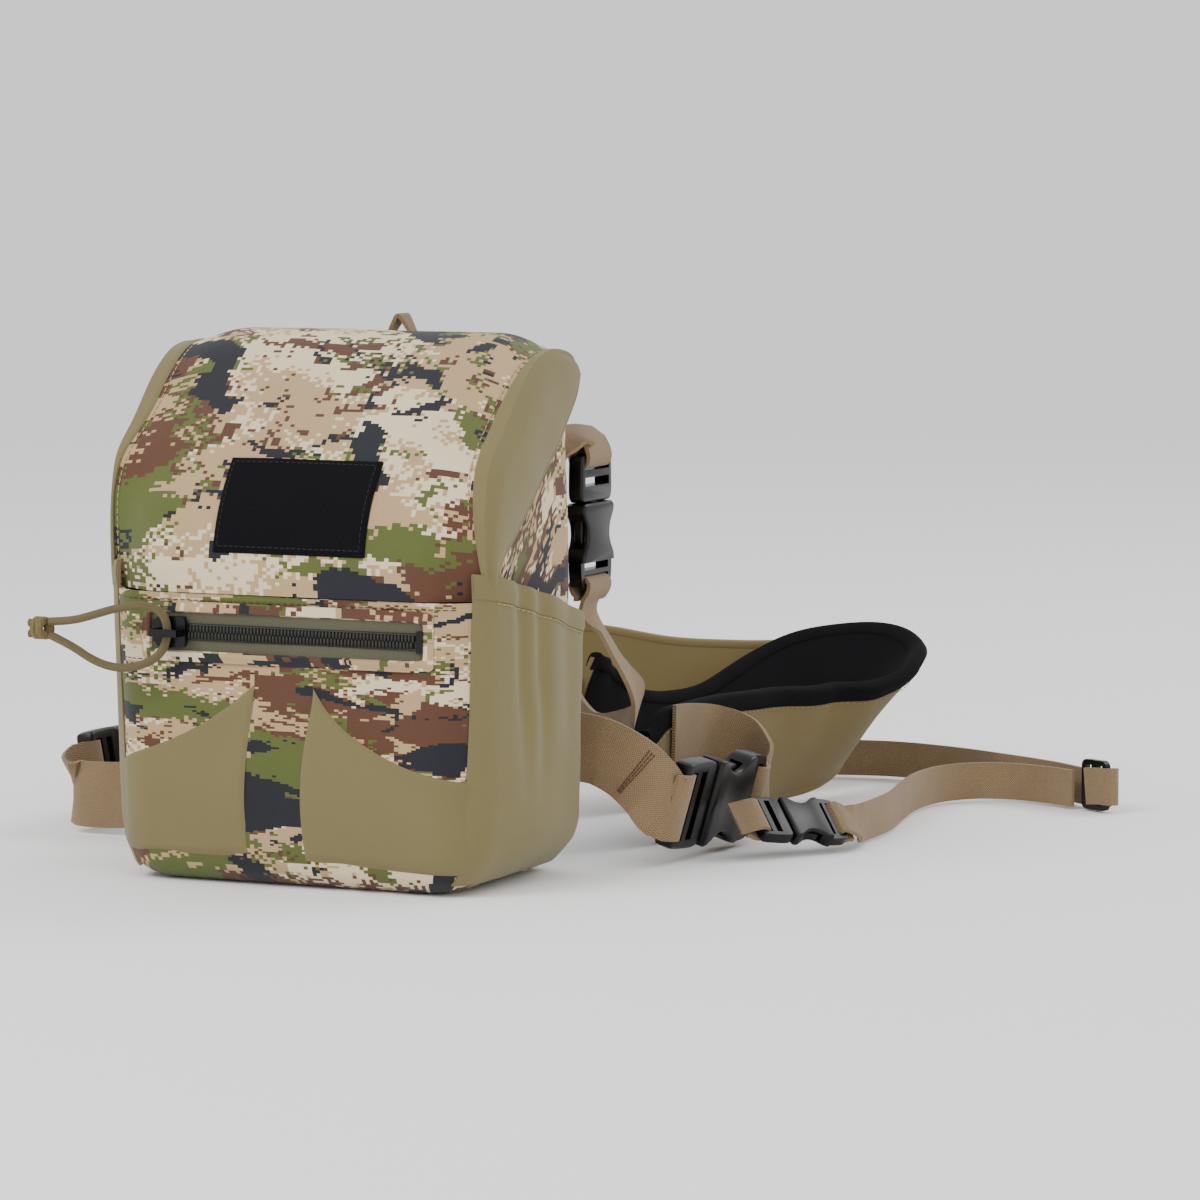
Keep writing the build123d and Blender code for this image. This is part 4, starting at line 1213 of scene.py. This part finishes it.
def make_buckle_parts():
    """The four parts of a buckle at scale 1, in its own axes: along, across, out."""
    female = moulded_plate("female", round_outline(FEMALE_OUTLINE), -5.5, 5.5, 1.5)
    cut_block(female, (-1, -15.5, -2.9), (26, 15.5, 2.9))
    for side in (-1, 1):
        cut_block(female, (30.2, -22, 3.5 if side > 0 else -9), (50, 22, 9 if side > 0 else -3.5))
    for slot in (32.2, 38.6):
        cut_block(female, (slot - 2, -SLOT_HALF, -9), (slot + 2, SLOT_HALF, 9))
    male = moulded_plate("male", round_outline(MALE_OUTLINE), -4.0, 4.0, 1.3)
    for slot in (-18.4, -10.4):
        cut_block(male, (slot - 2.2, -SLOT_HALF, -9), (slot + 2.2, SLOT_HALF, 9))
    tongue = moulded_plate("tongue", TONGUE_OUTLINE, -2.3, 2.3, 0.4)
    male = join("male", [male, tongue])
    prongs = [moulded_plate(name, [(x, side * y) for x, y in PRONG_OUTLINE], -2.2, 2.2, 0.7)
              for name, side in (("prong_a", 1), ("prong_b", -1))]
    return {"female": female, "male": male, "prong_a": prongs[0], "prong_b": prongs[1]}


def make_buckles():
    """The five side release buckles, each part copied from one set."""
    parts = make_buckle_parts()
    for name in BUCKLES:
        origin, along, across, out, size = buckle_axes(name)
        turn = Matrix((along, across, out)).transposed().to_4x4()
        place = Matrix.Translation(origin * MM) @ turn @ Matrix.Scale(size * MM, 4)
        for part, shape in parts.items():
            mesh = shape.data.copy()
            mesh.transform(place)
            piece = bpy.data.objects.new(f"{name}_{part}", mesh)
            bpy.context.collection.objects.link(piece)
            smooth(piece, 35)
            body = {"female": f"{name}_socket", "male": "pack"}.get(part, f"{name}_{part}")
            sew(piece, body, MATERIALS["plastic"], "black_plastic", f"{name}_buckle_{part}")
    for shape in parts.values():
        bpy.data.objects.remove(shape, do_unlink=True)


def make_hardware():
    """Gives the moulded parts and the hidden linings their materials."""
    make_buckles()
    plastic = ["zipper_slider", "zipper_stops", "triglide"]
    finishes = {"plastic": plastic, "black_placed": ["inner_liner", "lid_liner"],
                "magnet": ["lid_magnets", "body_magnets"]}
    for finish, nodes in finishes.items():
        for node in nodes:
            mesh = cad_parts[node].data
            mesh.materials.clear()
            mesh.materials.append(MATERIALS[finish])


def make_tab():
    """The folded webbing tab at the back of the lid."""
    low, high = node_box("lid_tab")
    middle = (low.y + high.y) / 2

    def place(across, along):
        height = math.sin(math.pi * along)
        x = lerp(-8.5, 8.5, along) * (1 - 0.55 * height ** 2)
        y = middle + (across - 0.5) * 2.2 * height + 1.0 * (along - 0.5)
        z = low.z + (high.z - low.z - 1) * height ** 0.8
        return Vector((x, y + (across - 0.5) * 6 * height, z))

    tab = cloth("grab_tab", 10, 40, place, (12, 44), thickness=1.4, offset=0.0)
    sew(tab, "lid", MATERIALS["webbing"], "webbing", "lid_tab")


# ---------------------------------------------------------------- stage

def make_stage():
    """The floor, the lights and the camera."""
    view_turn = math.radians(LAY_ANGLE)
    floor_end, bend = 2600, 1600.0

    def sweep(across, along):
        side, away = lerp(-6000, 6000, across), lerp(-4500, 5200, along)
        past = away - floor_end
        height = -0.3
        if past > 0:
            angle = min(past / bend, math.pi / 2)
            away = floor_end + bend * math.sin(angle)
            height += bend * (1 - math.cos(angle)) + max(past - bend * math.pi / 2, 0)
        return Matrix.Rotation(view_turn, 3, "Z") @ Vector((side, away, height))

    floor = cloth("floor", 40, 120, sweep, (12000, 9700), angle=80)
    material, tree, shader = start_material("pale_floor", 0.9, specular=0.1)
    place = add_node(tree, "ShaderNodeTexCoord").outputs["Object"]
    cloud = add_node(tree, "ShaderNodeTexNoise", {"Vector": place, "Scale": 3.0})
    ramp = add_node(tree, "ShaderNodeMapRange", {
        "Value": cloud.outputs["Fac"], "To Min": 0.92, "To Max": 0.935})
    tree.links.new(ramp.outputs[0], shader.inputs["Base Color"])
    floor.data.materials.append(material)

    world = bpy.data.worlds.new("studio")
    bpy.context.scene.world = world
    world.use_nodes = True
    world.node_tree.nodes["Background"].inputs["Color"].default_value = (1, 1, 1, 1)
    world.node_tree.nodes["Background"].inputs["Strength"].default_value = 1.05
    lamps = [("key", (-0.7, -1.2, 1.3), 0.8, 20), ("fill", (1.5, -0.9, 0.6), 0.9, 7),
             ("rim", (0.9, 1.2, 1.3), 0.8, 10)]
    for name, place, size, power in lamps:
        light = bpy.data.lights.new(name, "AREA")
        light.size, light.energy = size, power
        lamp = bpy.data.objects.new(name, light)
        lamp.location = place
        lamp.rotation_euler = (Vector((0, 0.05, 0.08)) - Vector(place)).to_track_quat("-Z", "Y").to_euler()
        bpy.context.collection.objects.link(lamp)

    elevation, distance = math.radians(5.5), 2.0
    back = Vector((math.sin(view_turn) * math.cos(elevation), -math.cos(view_turn) * math.cos(elevation),
                   math.sin(elevation)))
    right = Vector((math.cos(view_turn), math.sin(view_turn), 0))
    reference = Vector((0, 0.0025, 0.098))
    eye = reference + back * distance
    aim = reference + right * 0.0906
    data = bpy.data.cameras.new("camera")
    data.sensor_width = 36
    data.lens = 166.8
    camera = bpy.data.objects.new("camera", data)
    camera.location = eye
    camera.rotation_euler = (aim - eye).to_track_quat("-Z", "Y").to_euler()
    bpy.context.collection.objects.link(camera)
    bpy.context.scene.camera = camera


# ---------------------------------------------------------------- add-on

def colour_property(name, description, default):
    """A colour that a user can change."""
    return FloatVectorProperty(name=name, description=description, subtype="COLOR", size=3, min=0, max=1,
                               default=tint(*default)[:3])


class PackColours(bpy.types.PropertyGroup):
    cream: colour_property("Cream", "Palest colour of the print", (216, 199, 166))
    tan: colour_property("Tan", "Ground colour of the print", (176, 148, 110))
    brown: colour_property("Brown", "Brown of the print", (86, 55, 38))
    green: colour_property("Green", "Green of the print", (84, 92, 42))
    dark: colour_property("Dark", "Darkest colour of the print", (27, 29, 36))
    stretch: colour_property("Stretch cloth", "Stretch panels and side pockets", (114, 104, 68))
    pad: colour_property("Pads", "Outside of the shoulder pads", (112, 97, 60))
    webbing: colour_property("Webbing", "Webbing of the harness", (131, 109, 80))
    tape: colour_property("Zip tape", "Tape of the zip", (82, 80, 62))
    teeth: colour_property("Zip teeth", "Teeth of the zip", (40, 40, 36))
    cord: colour_property("Cord", "Pull cord", (106, 92, 54))
    black: colour_property("Black", "Lining, back pad and binding", (15, 15, 17))
    plastic: colour_property("Plastic", "Buckles, slider and tri-glide", (8, 8, 9))


def size_property(name, description, millimetres):
    """A size that a user can change."""
    return FloatProperty(name=name, description=description, unit="LENGTH", min=0.0005,
                         default=millimetres * MM)


class PackSizes(bpy.types.PropertyGroup):
    webbing_thickness: size_property("Webbing", "Thickness of every webbing", 1.5)
    pad_width: size_property("Pad width", "Width of the shoulder pads", 48.0)
    pad_thickness: size_property("Pad thickness", "Thickness of the shoulder pads", 4.6)


class PACK_OT_body(bpy.types.Operator):
    """Sews the body's wall, base, back pad and mouth binding"""
    bl_idname = "pack.body"
    bl_label = "Body"

    def execute(self, context):
        make_materials(context.scene.pack_colours)
        make_body()
        back_cloth()
        return {"FINISHED"}


class PACK_OT_front(bpy.types.Operator):
    """Sews the front pocket's panels and zip"""
    bl_idname = "pack.front"
    bl_label = "Front pocket"

    def execute(self, context):
        make_front()
        make_zip()
        return {"FINISHED"}


class PACK_OT_pockets(bpy.types.Operator):
    """Sews the side pockets"""
    bl_idname = "pack.pockets"
    bl_label = "Side pockets"

    def execute(self, context):
        make_pockets()
        return {"FINISHED"}


class PACK_OT_lid(bpy.types.Operator):
    """Sews the hood lid, its patch and its tab"""
    bl_idname = "pack.lid"
    bl_label = "Lid"

    def execute(self, context):
        make_lid()
        make_patch()
        make_tab()
        return {"FINISHED"}


class PACK_OT_harness(bpy.types.Operator):
    """Makes the webbing and the shoulder pads"""
    bl_idname = "pack.harness"
    bl_label = "Harness"

    def execute(self, context):
        make_webbing()
        make_pads()
        return {"FINISHED"}


class PACK_OT_hardware(bpy.types.Operator):
    """Makes the pull cord and finishes the moulded parts"""
    bl_idname = "pack.hardware"
    bl_label = "Cord and hardware"

    def execute(self, context):
        make_cord()
        make_hardware()
        return {"FINISHED"}


class PACK_OT_stage(bpy.types.Operator):
    """Sets the floor, the lights and the camera"""
    bl_idname = "pack.stage"
    bl_label = "Stage"

    def execute(self, context):
        make_stage()
        return {"FINISHED"}


class PACK_PT_panel(bpy.types.Panel):
    """The pack's pieces and colours"""
    bl_label = "Binocular Harness Pack"
    bl_idname = "PACK_PT_panel"
    bl_space_type = "VIEW_3D"
    bl_region_type = "UI"
    bl_category = "Pack"

    def draw(self, context):
        for values in (context.scene.pack_sizes, context.scene.pack_colours):
            for key in type(values).__annotations__:
                self.layout.prop(values, key)
        for operator in OPERATORS:
            self.layout.operator(operator.bl_idname)


OPERATORS = [PACK_OT_body, PACK_OT_front, PACK_OT_pockets, PACK_OT_lid, PACK_OT_harness, PACK_OT_hardware,
             PACK_OT_stage]
CLASSES = [PackColours, PackSizes] + OPERATORS + [PACK_PT_panel]


def register():
    for item in CLASSES:
        bpy.utils.register_class(item)
    bpy.types.Scene.pack_colours = PointerProperty(type=PackColours)
    bpy.types.Scene.pack_sizes = PointerProperty(type=PackSizes)


def unregister():
    del bpy.types.Scene.pack_sizes
    del bpy.types.Scene.pack_colours
    for item in reversed(CLASSES):
        bpy.utils.unregister_class(item)


def main():
    """Builds the whole pack."""
    register()
    for operator in OPERATORS:
        family, name = operator.bl_idname.split(".")
        getattr(getattr(bpy.ops, family), name)()
    bpy.context.view_layer.update()


if __name__ == "__main__":
    main()
